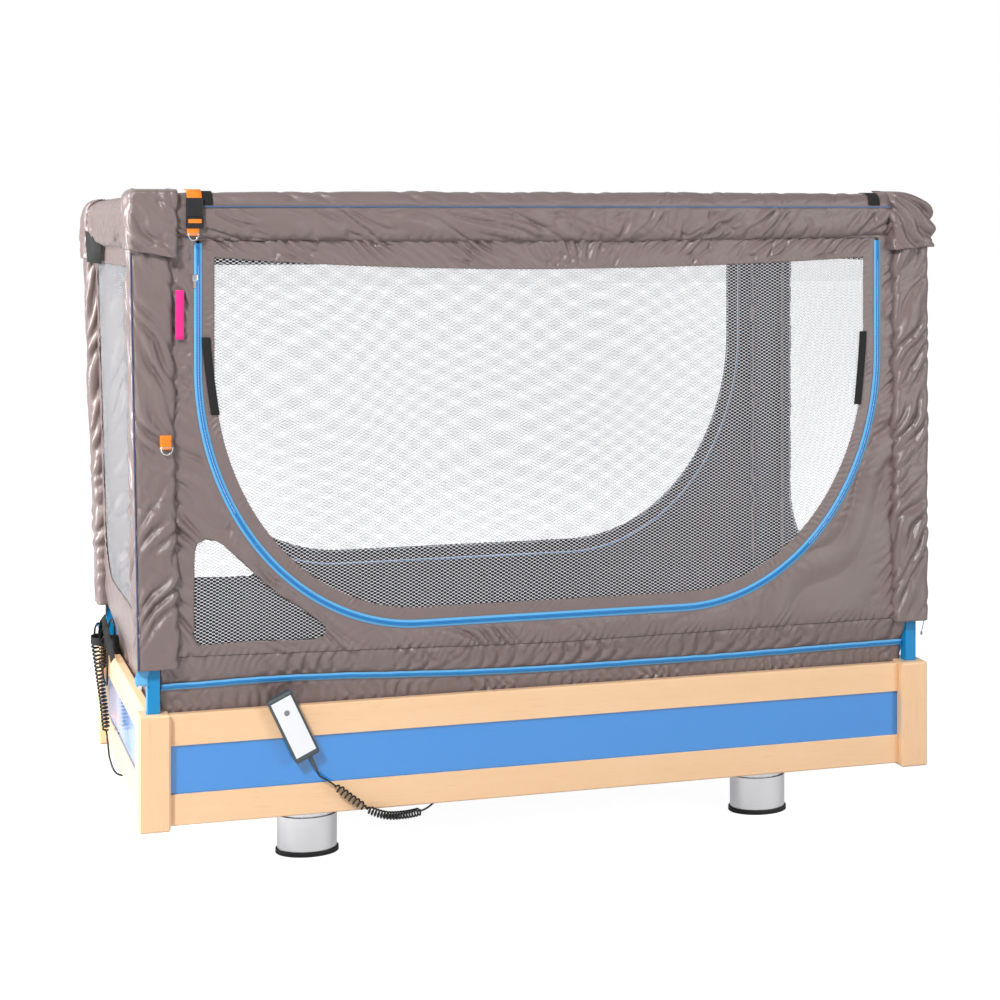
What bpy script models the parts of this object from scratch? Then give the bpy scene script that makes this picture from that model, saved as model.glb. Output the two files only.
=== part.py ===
"""Tent bed: a height-adjustable wooden care bed with a zipped fabric tent on a tube frame.

Metres, +Z up. The origin lies on the floor under the middle of the bed.
+X runs from the head end to the foot end, and the front is at -Y.
"""

import math

import bmesh
import bpy
from mathutils import Matrix, Vector

# Overall
BED_LENGTH = 2.20            # over the corner posts
BED_WIDTH = 0.99
GAP = 0.0003                 # between pieces that touch
EMBED = 0.003                # how far joined shapes run into each other

# Wooden surround
POST_SIZE = 0.080
POST_BOTTOM = 0.147          # above the floor with the bed lowered
POST_HEIGHT = 0.294
POST_EDGE = 0.004
RAIL_SETBACK = 0.022         # rail face behind the post face
RAIL_THICKNESS = 0.026
RAIL_HEIGHT = 0.080
RAIL_DROP = 0.004            # upper rail below the post top
RAIL_RISE = 0.008            # lower rail above the post foot
RAIL_EDGE = 0.003
PANEL_THICKNESS = 0.012
PANEL_TONGUE = 0.008         # panel edge held in the rail's groove

# Tent frame
TUBE = 0.032                 # square tube
SOCKET_DEPTH = 0.070         # tube held in the corner post
TENT_TOP = 1.756             # top of the padded edges
HOOP_CORNER = 0.020
HOOK_REACH = 0.0305          # lead hook, out from the tube
HOOK_LENGTH = 0.092          # lead hook, along the bed's width
HOOK_WIDTH = 0.005
HOOK_THICKNESS = 0.006
HOOK_RISE = 0.059            # top of the lead hook above the corner post

# Tent cover
PAD_HEIGHT = 0.124
PAD_DEPTH = 0.094
PAD_STATIONS = 9
PAD_SIDES = 14
PAD_SQUARENESS = 3.2         # exponent of the pad's rounded section
PAD_DRAW_IN = 0.07           # share by which the ends of a pad are drawn in
CAP_LENGTH = 0.128           # corner cap along the bed
CAP_DEPTH = 0.135            # corner cap across the bed
CAP_END_OVERHANG = 0.0125    # cap outside the post face, along the bed
CAP_OVERHANG = 0.020         # cap outside the post face, across the bed
CAP_SHOULDER = {             # width and height of the cap's oval shoulder
    "head": (0.026, 0.030),
    "foot": (0.110, 0.092)}
CAP_STEPS = 6
CAP_RISE = 0.006             # cap above the pads
CAP_HEIGHT = 0.166
CAP_EDGE = 0.016
SLEEVE_WIDTH = 0.107
SLEEVE_DEPTH = 0.090
SLEEVE_OVERHANG = 0.005      # sleeve outside the post face, along the bed
SLEEVE_BULGE = 0.0045        # sleeve outside the post face, across the bed
SLEEVE_WALL = 0.006
SLEEVE_EDGE = 0.018
SLEEVE_LIFT = 0.115          # sleeve's lower end above the corner post
CLOTH = 0.003
MESH = 0.001
SEAM_ROOM = 0.0023           # between the padded edges and the top of the walls
WALL_INSET = 0.017           # front and rear wall cloth behind the post face
END_WALL_INSET = 0.020       # head and foot wall cloth behind the post face
BEND_RISE = 0.163            # where the lower band starts to lean inwards, above the rail
TUCK_RISE = 0.008            # where the lower band stands behind the rail, above its top
HEM_DROP = 0.042             # hem of the lower band below the rail's top
BAND_CLEARANCE = 0.008       # lower band behind the rail's inner face
DOOR_SIDE = 0.048            # cloth between the door's zip and the sleeve
DOOR_RISE = 0.189            # door's lower edge above the corner post
DOOR_CORNER = (0.580, 0.680)  # width and height of the door's oval corners
DOOR_BORDER = 0.045
DOOR_TOP_BORDER = 0.070
ZIP_GAP = 0.0006
WINDOW_SIDE = 0.0495         # cloth beside the end window
WINDOW_RISE = 0.219          # end window above the corner post
WINDOW_DROP = 0.0697         # cloth above the end window
WINDOW_RADIUS = 0.150
MESH_LAP = 0.004             # mesh sewn behind the window's edge
ARC_STEPS = 10
VENT_WIDTH = 0.325           # small mesh vent beside the door's lower left corner
VENT_HEIGHT = 0.260
VENT_OUT = 0.005             # vent outside the door's left edge
VENT_DROP = 0.018            # vent below the door's lower edge
VENT_BORDER = 0.027          # cloth between the zip and the vent
ROOF_SAG = 0.030
ROOF_RISE = 0.012            # roof sheet above the middle of the pads
ROOF_CELLS = (6, 3)

# Lifting columns
COLUMN_FROM_END = 0.447
COLUMN_SHIFT = 0.027         # all columns towards the foot
COLUMN_FROM_SIDE = 0.226
COLUMN_OVAL = 0.75           # width of the oval over its length
COLUMN_STEPS = 20
FOOT_LIP = 0.0049            # foot ring round the base tube
FOOT_HEIGHT = 0.013
FOOT_GROOVE = 0.002
FOOT_GROOVE_WIDTH = 0.0031
FOOT_SOLE = 0.004
BASE_RADIUS = 0.0803
BASE_HEIGHT = 0.103
COLUMN_WALL = 0.004
COLUMN_CLEARANCE = 0.0007    # between the nested tubes
CEILING_THICKNESS = 0.008
HEADROOM = 0.0055            # middle tube below the upper tube's ceiling
MAST_STEP = 0.0045           # guide mast below the middle tube's top
FLOOR_ROOM = 0.0012          # middle tube above the base tube's floor
LOWER_STEP = 0.0025          # upper tube above the middle tube's lower end

# Mattress support
BEAM_WIDTH = 0.060
BEAM_HEIGHT = 0.035
FRAME_DROP = 0.0967          # frame's underside below the rail's top
FRAME_BAR = 0.025
LUG_RISE = 0.0163            # hinge lug above its pin's middle
STOP_HEIGHT = 0.0234         # ring and cross bars of the frame
SECTION_THICKNESS = 0.020
SECTION_SIDE_GAP = 0.004
SLAT_WIDTH = 0.060
SLAT_GAP = 0.036
SLAT_LAP = 0.015             # seat slats over the frame's long bars
SIDE_MARGIN = 0.045
BACK_HINGE_X = -0.200
THIGH_HINGE_X = 0.100
KNEE_HINGE_X = 0.430
SECTION_END_GAP = 0.0097     # free ends of the sections to the frame
HINGE_END = 0.012            # section past its hinge axis
KNEE_GAP = 0.002             # past the circle that the leg rest's corner turns on
PIN_RADIUS = 0.006
PIN_LENGTH = 0.036
PIN_CLEARANCE = 0.0003
PIN_SIDES = 16
LEVER_WIDTH = 0.050
LEVER_THICKNESS = 0.024
LEVER_DROP = 0.094
DRIVE_WIDTH = 0.140
DRIVE_HEIGHT = 0.080
HOUSING_EDGE = 0.004
CONTROL_SIZE = (0.200, 0.190, 0.060)
CONTROL_FROM_HINGE = 0.050   # control box past the backrest's hinge
CONTROL_GAP = 0.040          # control box beside the drive
BRACKET_BARS = (-0.120, 0.020)

# Handset
HANDSET_SIZE = (0.068, 0.028, 0.180)
HANDSET_FROM_END = 0.3915
HANDSET_DROP = 0.0485        # handset's middle below the rail's top
HANDSET_TILT = math.radians(-25.3)
HANDSET_EDGE = 0.004
FACE_MARGIN = 0.006
FACE_TOP_MARGIN = 0.010
FACE_BOTTOM_MARGIN = 0.014
FACE_DEPTH = 0.0015
KEY_RADIUS = 0.007
KEY_PROUD = 0.0008
KEY_DEPTH = 0.0022
KEY_RECESS = 0.0040
KEY_UP = 0.042               # key above the handset's middle
RELIEF_LENGTH = 0.042
RELIEF_RADII = (0.0065, 0.0034)
RELIEF_OFFSET = 0.006
HOOK_LUG = (0.030, 0.016, 0.006)

# Strap, buckle and zip slider
STRAP_WIDTH = 0.042
STRAP_THICKNESS = 0.002
STRAP_FROM_CAP = 0.0225      # strap's middle beside the corner cap
STRAP_LENGTH = 0.108
STRAP_DROP = 0.008           # strap's upper end below the tent's top
BUCKLE_DROP = 0.011
BUCKLE_LENGTH = 0.055
BUCKLE_WIDTH = 0.044
BUCKLE_THICKNESS = 0.0105
TONGUE = (0.030, 0.005, 0.022)
CLIP_HEIGHT = 0.028
SLIDER_SIZE = (0.016, 0.006, 0.034)
SLIDER_DROP = 0.0847         # slider below the top of the walls

# Cords
HANDSET_CORD = 0.005
MAINS_CORD = 0.006
CURL_RADIUS = 0.009          # of the cord's middle line
CURL_POINTS = 8
STRAIGHT_STEP = 2.5          # spacing of straight points, in cord diameters
STRAIGHT_EXIT = 0.016        # run that leaves its housing square to it
PLUG_RADIUS = 0.019
PLUG_TOP_RADIUS = 0.0105
PLUG_HEIGHT = 0.052
PLUG_AT = (-1.0690, 0.300)

# Derived heights and planes
POST_TOP = POST_BOTTOM + POST_HEIGHT
RAIL_TOP = POST_TOP - RAIL_DROP
RAIL_FOOT = POST_BOTTOM + RAIL_RISE
HALF_LENGTH = BED_LENGTH / 2
HALF_WIDTH = BED_WIDTH / 2
TUBE_X = HALF_LENGTH - POST_SIZE / 2
TUBE_Y = HALF_WIDTH - POST_SIZE / 2
PAD_CENTRE = TENT_TOP - PAD_HEIGHT / 2
PAD_BOTTOM = TENT_TOP - PAD_HEIGHT
CAP_TOP = TENT_TOP + CAP_RISE
CAP_BOTTOM = CAP_TOP - CAP_HEIGHT
CAP_OUT_X = HALF_LENGTH + CAP_END_OVERHANG
CAP_OUT_Y = HALF_WIDTH + CAP_OVERHANG
CAP_IN_X = CAP_OUT_X - CAP_LENGTH
CAP_IN_Y = CAP_OUT_Y - CAP_DEPTH
WALL_Y = HALF_WIDTH - WALL_INSET
WALL_X = HALF_LENGTH - END_WALL_INSET
CLOTH_TOP = PAD_BOTTOM - SEAM_ROOM
WALL_BEND = RAIL_TOP + BEND_RISE
BAND_TUCK = RAIL_TOP + TUCK_RISE
BAND_HEM = RAIL_TOP - HEM_DROP
ROOF_HEIGHT = PAD_CENTRE + ROOF_RISE
RAIL_INSIDE_X = HALF_LENGTH - RAIL_SETBACK - RAIL_THICKNESS
RAIL_INSIDE_Y = HALF_WIDTH - RAIL_SETBACK - RAIL_THICKNESS
SLEEVE_OUT_X = HALF_LENGTH + SLEEVE_OVERHANG
SLEEVE_IN_X = SLEEVE_OUT_X - SLEEVE_WIDTH
SLEEVE_OUT_Y = HALF_WIDTH + SLEEVE_BULGE
SLEEVE_IN_Y = SLEEVE_OUT_Y - SLEEVE_DEPTH
SLEEVE_HEM = POST_TOP + SLEEVE_LIFT
DOOR_HALF_WIDTH = SLEEVE_IN_X - DOOR_SIDE
DOOR_BOTTOM = POST_TOP + DOOR_RISE
VENT_LEFT = -DOOR_HALF_WIDTH - VENT_OUT
VENT_FOOT = DOOR_BOTTOM - VENT_DROP
WINDOW_HALF_WIDTH = SLEEVE_IN_Y - WINDOW_SIDE
WINDOW_BOTTOM = POST_TOP + WINDOW_RISE
WINDOW_TOP = CLOTH_TOP - WINDOW_DROP
FRAME_X = RAIL_INSIDE_X - GAP
FRAME_Y = RAIL_INSIDE_Y - GAP
FRAME_BOTTOM = RAIL_TOP - FRAME_DROP
BAR_TOP = FRAME_BOTTOM + STOP_HEIGHT
SECTION_BOTTOM = BAR_TOP + GAP
SECTION_END = HALF_LENGTH - POST_SIZE - GAP - FRAME_BAR - SECTION_END_GAP
SECTION_Y = FRAME_Y - FRAME_BAR - SECTION_SIDE_GAP
HINGE_Z = SECTION_BOTTOM + SECTION_THICKNESS / 2
COLUMN_X = {
    "head": COLUMN_SHIFT + COLUMN_FROM_END - HALF_LENGTH,
    "foot": COLUMN_SHIFT + HALF_LENGTH - COLUMN_FROM_END}
COLUMN_Y = HALF_WIDTH - COLUMN_FROM_SIDE
FOOT_RADIUS = BASE_RADIUS + GAP + FOOT_LIP
BASE_FLOOR = FOOT_SOLE + GAP + COLUMN_WALL
MIDDLE_BOTTOM = BASE_FLOOR + FLOOR_ROOM
UPPER_BOTTOM = MIDDLE_BOTTOM + LOWER_STEP
BEAM_TOP = FRAME_BOTTOM - GAP
TUBE_LID = BEAM_TOP - BEAM_HEIGHT + EMBED
TUBE_CEILING = TUBE_LID - CEILING_THICKNESS
MIDDLE_TOP = TUBE_CEILING - HEADROOM
MAST_TOP = MIDDLE_TOP - MAST_STEP
CONTROL_X = BACK_HINGE_X + CONTROL_FROM_HINGE
CONTROL_Y = -(DRIVE_WIDTH / 2 + CONTROL_GAP + CONTROL_SIZE[1])
HANDSET_AT = (HANDSET_FROM_END - HALF_LENGTH, RAIL_TOP - HANDSET_DROP)
STRAP_X = STRAP_FROM_CAP - CAP_IN_X
SLIDER_AT = CLOTH_TOP - SLIDER_DROP
UPPER_RADIUS = BASE_RADIUS - COLUMN_WALL - COLUMN_CLEARANCE
MIDDLE_RADIUS = UPPER_RADIUS - COLUMN_WALL - COLUMN_CLEARANCE
MAST_RADIUS = MIDDLE_RADIUS - COLUMN_WALL - COLUMN_CLEARANCE
ENDS = {"head": -1, "foot": 1}
SIDES = {"front": -1, "rear": 1}


# Scene and materials

for stale in list(bpy.data.objects):
    bpy.data.objects.remove(stale, do_unlink=True)

parts = bpy.data.collections.new("tent_bed")
cutters = bpy.data.collections.new("tent_bed_cutters")
for collection in (parts, cutters):
    bpy.context.scene.collection.children.link(collection)


def material(name, colour, roughness, metallic=0.0):
    """A Principled material in one plain finish."""
    made = bpy.data.materials.new(name)
    made.use_nodes = True
    shader = made.node_tree.nodes["Principled BSDF"]
    shader.inputs["Base Color"].default_value = (*colour, 1.0)
    shader.inputs["Roughness"].default_value = roughness
    shader.inputs["Metallic"].default_value = metallic
    return made


WOOD = material("beech", (0.90, 0.66, 0.42), 0.5)
PANEL_BLUE = material("blue_panel", (0.06, 0.29, 0.71), 0.45)
TUBE_BLUE = material("blue_tube", (0.0, 0.28, 0.62), 0.35)
CLOTH_TAUPE = material("taupe_cloth", (0.22, 0.18, 0.17), 0.6)
ALUMINIUM = material("aluminium", (0.75, 0.75, 0.76), 0.35, 1.0)
STEEL = material("grey_steel", (0.35, 0.36, 0.38), 0.45, 0.8)
BLACK = material("black_plastic", (0.02, 0.02, 0.02), 0.5)
ORANGE = material("orange_webbing", (0.9, 0.26, 0.02), 0.7)
HANDSET_GREY = material("handset_grey", (0.08, 0.1, 0.1), 0.5)
WHITE = material("white_plate", (0.85, 0.86, 0.88), 0.4)


# Modelling helpers

def add_object(name, data, finish, is_cutter=False):
    """Link a new object, as a part or as a hidden cutter."""
    made = bpy.data.objects.new(name, data)
    data.materials.clear()
    if finish:
        data.materials.append(finish)
    (cutters if is_cutter else parts).objects.link(made)
    if is_cutter:
        made.hide_render = True
        made.display_type = "WIRE"
    return made


def box(name, low, high, finish=None, edge=0.0, origin=None):
    """A block between two corners, a cutter where it has no finish."""
    low, high = Vector(low), Vector(high)
    middle = (low + high) / 2
    origin = Vector(origin) if origin else middle
    shape = bmesh.new()
    bmesh.ops.create_cube(shape, size=1.0)
    bmesh.ops.scale(shape, vec=high - low, verts=shape.verts)
    bmesh.ops.translate(shape, vec=middle - origin, verts=shape.verts)
    mesh = bpy.data.meshes.new(name)
    shape.to_mesh(mesh)
    shape.free()
    made = add_object(name, mesh, finish, finish is None)
    made.location = origin
    if edge:
        round_edges(made, edge)
    return made


def round_edges(target, width, segments=1):
    bevel = target.modifiers.new("edges", "BEVEL")
    bevel.width = width
    bevel.segments = segments
    bevel.limit_method = "ANGLE"


def rod(name, start, end, radius, finish=None, sides=PIN_SIDES, end_radius=None):
    """A round bar or taper between two points."""
    start, end = Vector(start), Vector(end)
    shape = bmesh.new()
    bmesh.ops.create_cone(
        shape, cap_ends=True, segments=sides, radius1=radius,
        radius2=radius if end_radius is None else end_radius, depth=(end - start).length)
    mesh = bpy.data.meshes.new(name)
    shape.to_mesh(mesh)
    shape.free()
    made = add_object(name, mesh, finish, finish is None)
    made.rotation_mode = "QUATERNION"
    made.rotation_quaternion = (end - start).to_track_quat("Z", "Y")
    made.location = (start + end) / 2
    return made


def boolean(target, other, operation):
    """Cut or join another object, which stays behind as a hidden tool."""
    if other.name in parts.objects:
        parts.objects.unlink(other)
        cutters.objects.link(other)
        other.hide_render = True
        other.display_type = "WIRE"
    change = target.modifiers.new(operation.lower(), "BOOLEAN")
    change.operation = operation
    change.solver = "EXACT"
    change.object = other


def cut(target, *others):
    for other in others:
        boolean(target, other, "DIFFERENCE")


def join(target, *others):
    for other in others:
        boolean(target, other, "UNION")


AXIS_TURNS = {
    "X": (math.pi / 2, 0.0, math.pi / 2),   # outline (y, z), run along X
    "Y": (math.pi / 2, 0.0, 0.0),           # outline (x, z), run along Y
    "Z": (0.0, 0.0, 0.0),                   # outline (x, y), run along Z
}


def outline(name, loops, span, along, finish=None, origin=(0.0, 0.0, 0.0)):
    """A flat outline, with any holes, run from one place to another along an axis."""
    curve = bpy.data.curves.new(name + "_outline", "CURVE")
    curve.dimensions = "2D"
    curve.fill_mode = "BOTH"
    curve.extrude = (span[1] - span[0]) / 2
    for loop in loops:
        spline = curve.splines.new("POLY")
        spline.points.add(len(loop) - 1)
        for point, (u, v) in zip(spline.points, loop):
            point.co = (u, v, 0.0, 1.0)
        spline.use_cyclic_u = True
    drawn = add_object(name + "_outline", curve, None)
    drawn.rotation_euler = AXIS_TURNS[along]
    middle = (span[0] + span[1]) / 2
    drawn.location = [middle if letter == along else 0.0 for letter in "XYZ"]
    return curve_to_mesh(name, drawn, finish, origin)


def curve_to_mesh(name, drawn, finish, origin=(0.0, 0.0, 0.0)):
    """Turn a curve into a welded mesh with its origin where it turns."""
    bpy.context.view_layer.update()
    ready = drawn.evaluated_get(bpy.context.evaluated_depsgraph_get())
    mesh = bpy.data.meshes.new_from_object(ready)
    shape = bmesh.new()
    shape.from_mesh(mesh)
    bmesh.ops.remove_doubles(shape, verts=shape.verts, dist=1e-5)
    bmesh.ops.transform(shape, matrix=drawn.matrix_world, verts=shape.verts)
    bmesh.ops.translate(shape, vec=-Vector(origin), verts=shape.verts)
    bmesh.ops.recalc_face_normals(shape, faces=shape.faces)
    shape.to_mesh(mesh)
    shape.free()
    mesh.name = name
    bpy.data.objects.remove(drawn, do_unlink=True)
    made = add_object(name, mesh, finish, finish is None)
    made.location = origin
    return made


def turned(name, profile, at, finish):
    """An oval turned shape: a profile of (radius, height) swept round and narrowed across."""
    mesh = bpy.data.meshes.new(name)
    shape = bmesh.new()
    points = [shape.verts.new((radius, 0.0, height)) for radius, height in profile]
    for first, second in zip(points, points[1:]):
        shape.edges.new((first, second))
    if profile[0][0] > 0.0:
        shape.edges.new((points[-1], points[0]))
    shape.to_mesh(mesh)
    shape.free()
    made = add_object(name, mesh, finish)
    screw = made.modifiers.new("turn", "SCREW")
    screw.steps = screw.render_steps = COLUMN_STEPS
    screw.use_merge_vertices = True
    screw.merge_threshold = 1e-5
    made.location = (*at, 0.0)
    made.scale = (1.0, COLUMN_OVAL, 1.0)
    return made


def oval_arc(centre, radii, start, end, steps):
    """Points on an oval's arc, angles in degrees."""
    points = []
    for index in range(steps + 1):
        angle = math.radians(start + (end - start) * index / steps)
        points.append((centre[0] + radii[0] * math.cos(angle), centre[1] + radii[1] * math.sin(angle)))
    return points


def arc(centre, radius, start, end, steps):
    return oval_arc(centre, (radius, radius), start, end, steps)


def rounded_rectangle(low, high, radius, steps=3):
    (left, bottom), (right, top) = low, high
    corners = ((right - radius, top - radius, 0), (left + radius, top - radius, 90),
               (left + radius, bottom + radius, 180), (right - radius, bottom + radius, 270))
    points = []
    for u, v, start in corners:
        points += arc((u, v), radius, start, start + 90, steps)
    return points


def rectangle(low, high):
    return [(low[0], low[1]), (high[0], low[1]), (high[0], high[1]), (low[0], high[1])]


# Lifting columns

def lifting_column(end_name, side_name):
    """Foot ring, base tube with its guide mast, and the middle tube of one column."""
    tag = f"{end_name}_{side_name}"
    at = (COLUMN_X[end_name], SIDES[side_name] * COLUMN_Y)
    seat = BASE_RADIUS + GAP
    groove = FOOT_RADIUS - FOOT_GROOVE
    middle, lip = FOOT_HEIGHT / 2, FOOT_GROOVE_WIDTH / 2
    sole = MAST_RADIUS - COLUMN_WALL
    turned(f"column_foot_{tag}", [
        (seat, FOOT_HEIGHT), (FOOT_RADIUS, FOOT_HEIGHT), (FOOT_RADIUS, middle + lip),
        (groove, middle), (FOOT_RADIUS, middle - lip), (FOOT_RADIUS, 0.0),
        (sole, 0.0), (sole, FOOT_SOLE), (seat, FOOT_SOLE)], at, BLACK)
    bottom = FOOT_SOLE + GAP
    turned(f"column_base_{tag}", [
        (0.0, MAST_TOP), (MAST_RADIUS, MAST_TOP), (MAST_RADIUS, BASE_FLOOR),
        (BASE_RADIUS - COLUMN_WALL, BASE_FLOOR), (BASE_RADIUS - COLUMN_WALL, BASE_HEIGHT),
        (BASE_RADIUS, BASE_HEIGHT), (BASE_RADIUS, bottom), (sole, bottom),
        (sole, MAST_TOP - COLUMN_WALL), (0.0, MAST_TOP - COLUMN_WALL)], at, ALUMINIUM)
    inner = MIDDLE_RADIUS - COLUMN_WALL
    turned(f"column_tube_{tag}", [
        (inner, MIDDLE_TOP), (MIDDLE_RADIUS, MIDDLE_TOP), (MIDDLE_RADIUS, MIDDLE_BOTTOM),
        (inner, MIDDLE_BOTTOM)], at, ALUMINIUM)


def cross_beam(end_name):
    """A steel beam across the bed with the closed upper tubes of its two columns."""
    x = COLUMN_X[end_name]
    beam = box(
        f"cross_beam_{end_name}",
        (x - BEAM_WIDTH / 2, -FRAME_Y, BEAM_TOP - BEAM_HEIGHT),
        (x + BEAM_WIDTH / 2, FRAME_Y, BEAM_TOP), STEEL)
    inner = UPPER_RADIUS - COLUMN_WALL
    for side_name, side in SIDES.items():
        join(beam, turned(f"upper_tube_{end_name}_{side_name}", [
            (0.0, TUBE_LID), (UPPER_RADIUS, TUBE_LID), (UPPER_RADIUS, UPPER_BOTTOM),
            (inner, UPPER_BOTTOM), (inner, TUBE_CEILING), (0.0, TUBE_CEILING)],
            (x, side * COLUMN_Y), STEEL))


# Mattress support

def frame_outline(inset):
    """Rectangle with its corners stepped in round the corner posts."""
    x, y = FRAME_X - inset, FRAME_Y - inset
    step_x = HALF_LENGTH - POST_SIZE - GAP - inset
    step_y = HALF_WIDTH - POST_SIZE - GAP - inset
    quarter = [(x, step_y), (step_x, step_y), (step_x, y)]
    left = [(-u, v) for u, v in reversed(quarter)]
    upper = quarter + left
    return upper + [(-u, -v) for u, v in upper]


def mattress_frame():
    """Steel ring bolted inside the wooden rails, with fixed seat slats and hinge pins on lugs."""
    inside_y = FRAME_Y - FRAME_BAR
    frame = outline("mattress_frame", [frame_outline(0.0), frame_outline(FRAME_BAR)],
                    (FRAME_BOTTOM, BAR_TOP), "Z", STEEL)
    reach = inside_y + EMBED
    bars = (FRAME_BAR - SECTION_END, *BRACKET_BARS, SECTION_END - FRAME_BAR)
    for index, x in enumerate(bars):
        join(frame, box(
            f"frame_bar_{index}", (x - FRAME_BAR / 2, -reach, FRAME_BOTTOM),
            (x + FRAME_BAR / 2, reach, BAR_TOP)))
    seat_start = BACK_HINGE_X + HINGE_END * 2
    seat_end = THIGH_HINGE_X - HINGE_END * 2
    slats = int((seat_end - seat_start + SLAT_GAP) // (SLAT_WIDTH + SLAT_GAP))
    pitch = (seat_end - seat_start - SLAT_WIDTH) / max(slats - 1, 1)
    lap = inside_y + SLAT_LAP
    for index in range(slats):
        start = seat_start + index * pitch
        join(frame, box(
            f"seat_slat_{index}", (start, -lap, BAR_TOP - EMBED),
            (start + SLAT_WIDTH, lap, SECTION_BOTTOM + SECTION_THICKNESS)))
    for x in (BACK_HINGE_X, THIGH_HINGE_X):
        for side in SIDES.values():
            near, far = sorted((side * inside_y, side * FRAME_Y))
            join(frame, box(
                f"hinge_lug_{x}_{side}", (x - HINGE_END, near, BAR_TOP - EMBED),
                (x + HINGE_END, far, HINGE_Z + LUG_RISE)))
            join(frame, rod(
                f"frame_pin_{x}_{side}", (x, side * reach, HINGE_Z),
                (x, side * (SECTION_Y - PIN_LENGTH), HINGE_Z), PIN_RADIUS))


def section(name, start, end, hinge_x, half_width):
    """A slatted section of the lying surface, hung on pins at its hinge."""
    loops = [rectangle((start, -half_width), (end, half_width))]
    pitch = SLAT_WIDTH + SLAT_GAP
    count = int((end - start - SLAT_WIDTH) // pitch)
    first = start + (end - start - count * pitch + SLAT_WIDTH) / 2
    for index in range(count):
        left = first + index * pitch
        loops.append(rectangle(
            (left, -half_width + SIDE_MARGIN), (left + SLAT_GAP, half_width - SIDE_MARGIN)))
    made = outline(name, loops, (SECTION_BOTTOM, SECTION_BOTTOM + SECTION_THICKNESS), "Z", STEEL,
                   (hinge_x, 0.0, HINGE_Z))
    for side in SIDES.values():
        cut(made, rod(
            f"{name}_hole_{side}", (hinge_x, side * (half_width + EMBED), HINGE_Z),
            (hinge_x, side * (half_width - PIN_LENGTH - EMBED), HINGE_Z),
            PIN_RADIUS + PIN_CLEARANCE))
    return made


def lever(name, x):
    """Arm under a section, which the drive unit pushes."""
    return box(
        name, (x - LEVER_THICKNESS / 2, -LEVER_WIDTH / 2, HINGE_Z - LEVER_DROP),
        (x + LEVER_THICKNESS / 2, LEVER_WIDTH / 2, SECTION_BOTTOM + EMBED))


def lying_surface():
    """Backrest, thigh rest and leg rest."""
    back_end = BACK_HINGE_X + HINGE_END
    backrest = section("backrest", -SECTION_END, back_end, BACK_HINGE_X, SECTION_Y)
    join(backrest, lever("backrest_lever", BACK_HINGE_X))
    knee_edge = math.hypot(HINGE_END, SECTION_THICKNESS / 2) + KNEE_GAP
    thigh = section(
        "thigh_rest", THIGH_HINGE_X - HINGE_END, KNEE_HINGE_X - knee_edge, THIGH_HINGE_X,
        SECTION_Y)
    join(thigh, lever("thigh_lever", THIGH_HINGE_X))
    arm_inside = SECTION_Y - SIDE_MARGIN / 2
    for side in SIDES.values():
        near, far = sorted((side * arm_inside, side * SECTION_Y))
        join(thigh, box(
            f"knee_arm_{side}", (KNEE_HINGE_X - knee_edge - SLAT_WIDTH, near, SECTION_BOTTOM),
            (KNEE_HINGE_X + HINGE_END, far, SECTION_BOTTOM + SECTION_THICKNESS)))
        join(thigh, rod(
            f"knee_pin_{side}", (KNEE_HINGE_X, side * (arm_inside + EMBED), HINGE_Z),
            (KNEE_HINGE_X, side * (arm_inside - SECTION_SIDE_GAP - PIN_LENGTH), HINGE_Z),
            PIN_RADIUS))
    section("leg_rest", KNEE_HINGE_X - HINGE_END, SECTION_END, KNEE_HINGE_X,
            arm_inside - SECTION_SIDE_GAP)


def drives():
    """Twin drive between the two levers, and the control box beside it."""
    clear = LEVER_THICKNESS / 2 + GAP
    box("drive_unit", (BACK_HINGE_X + clear, -DRIVE_WIDTH / 2, BEAM_TOP - DRIVE_HEIGHT),
        (THIGH_HINGE_X - clear, DRIVE_WIDTH / 2, BEAM_TOP), BLACK, edge=HOUSING_EDGE)
    low = Vector((CONTROL_X, CONTROL_Y, BEAM_TOP - CONTROL_SIZE[2]))
    box("control_box", low, low + Vector(CONTROL_SIZE), BLACK, edge=HOUSING_EDGE)


# Wooden surround

def rail_profile(groove_up):
    """Section of a rail: eased edges, and a groove for the panel in its inner edge."""
    half = RAIL_THICKNESS / 2
    slot = PANEL_THICKNESS / 2 + GAP
    depth = PANEL_TONGUE + GAP
    points = [
        (-half + RAIL_EDGE, 0.0), (half - RAIL_EDGE, 0.0), (half, RAIL_EDGE),
        (half, RAIL_HEIGHT), (slot, RAIL_HEIGHT), (slot, RAIL_HEIGHT - depth),
        (-slot, RAIL_HEIGHT - depth), (-slot, RAIL_HEIGHT), (-half, RAIL_HEIGHT),
        (-half, RAIL_EDGE)]
    if groove_up:
        return [(u, RAIL_FOOT + v) for u, v in points]
    return [(u, RAIL_TOP - v) for u, v in points]


def board(name, along, offset, half_run):
    """Upper rail, lower rail and panel of one side of the surround."""
    shifted = {
        "upper": [(u + offset, v) for u, v in rail_profile(False)],
        "lower": [(u + offset, v) for u, v in rail_profile(True)],
        "panel": rectangle(
            (offset - PANEL_THICKNESS / 2, RAIL_FOOT + RAIL_HEIGHT - PANEL_TONGUE),
            (offset + PANEL_THICKNESS / 2, RAIL_TOP - RAIL_HEIGHT + PANEL_TONGUE))}
    span = (-half_run + GAP, half_run - GAP)
    for kind, loop in shifted.items():
        node = f"{name}_panel" if kind == "panel" else f"{name}_{kind}_rail"
        outline(node, [loop], span, along, PANEL_BLUE if kind == "panel" else WOOD)


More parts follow.
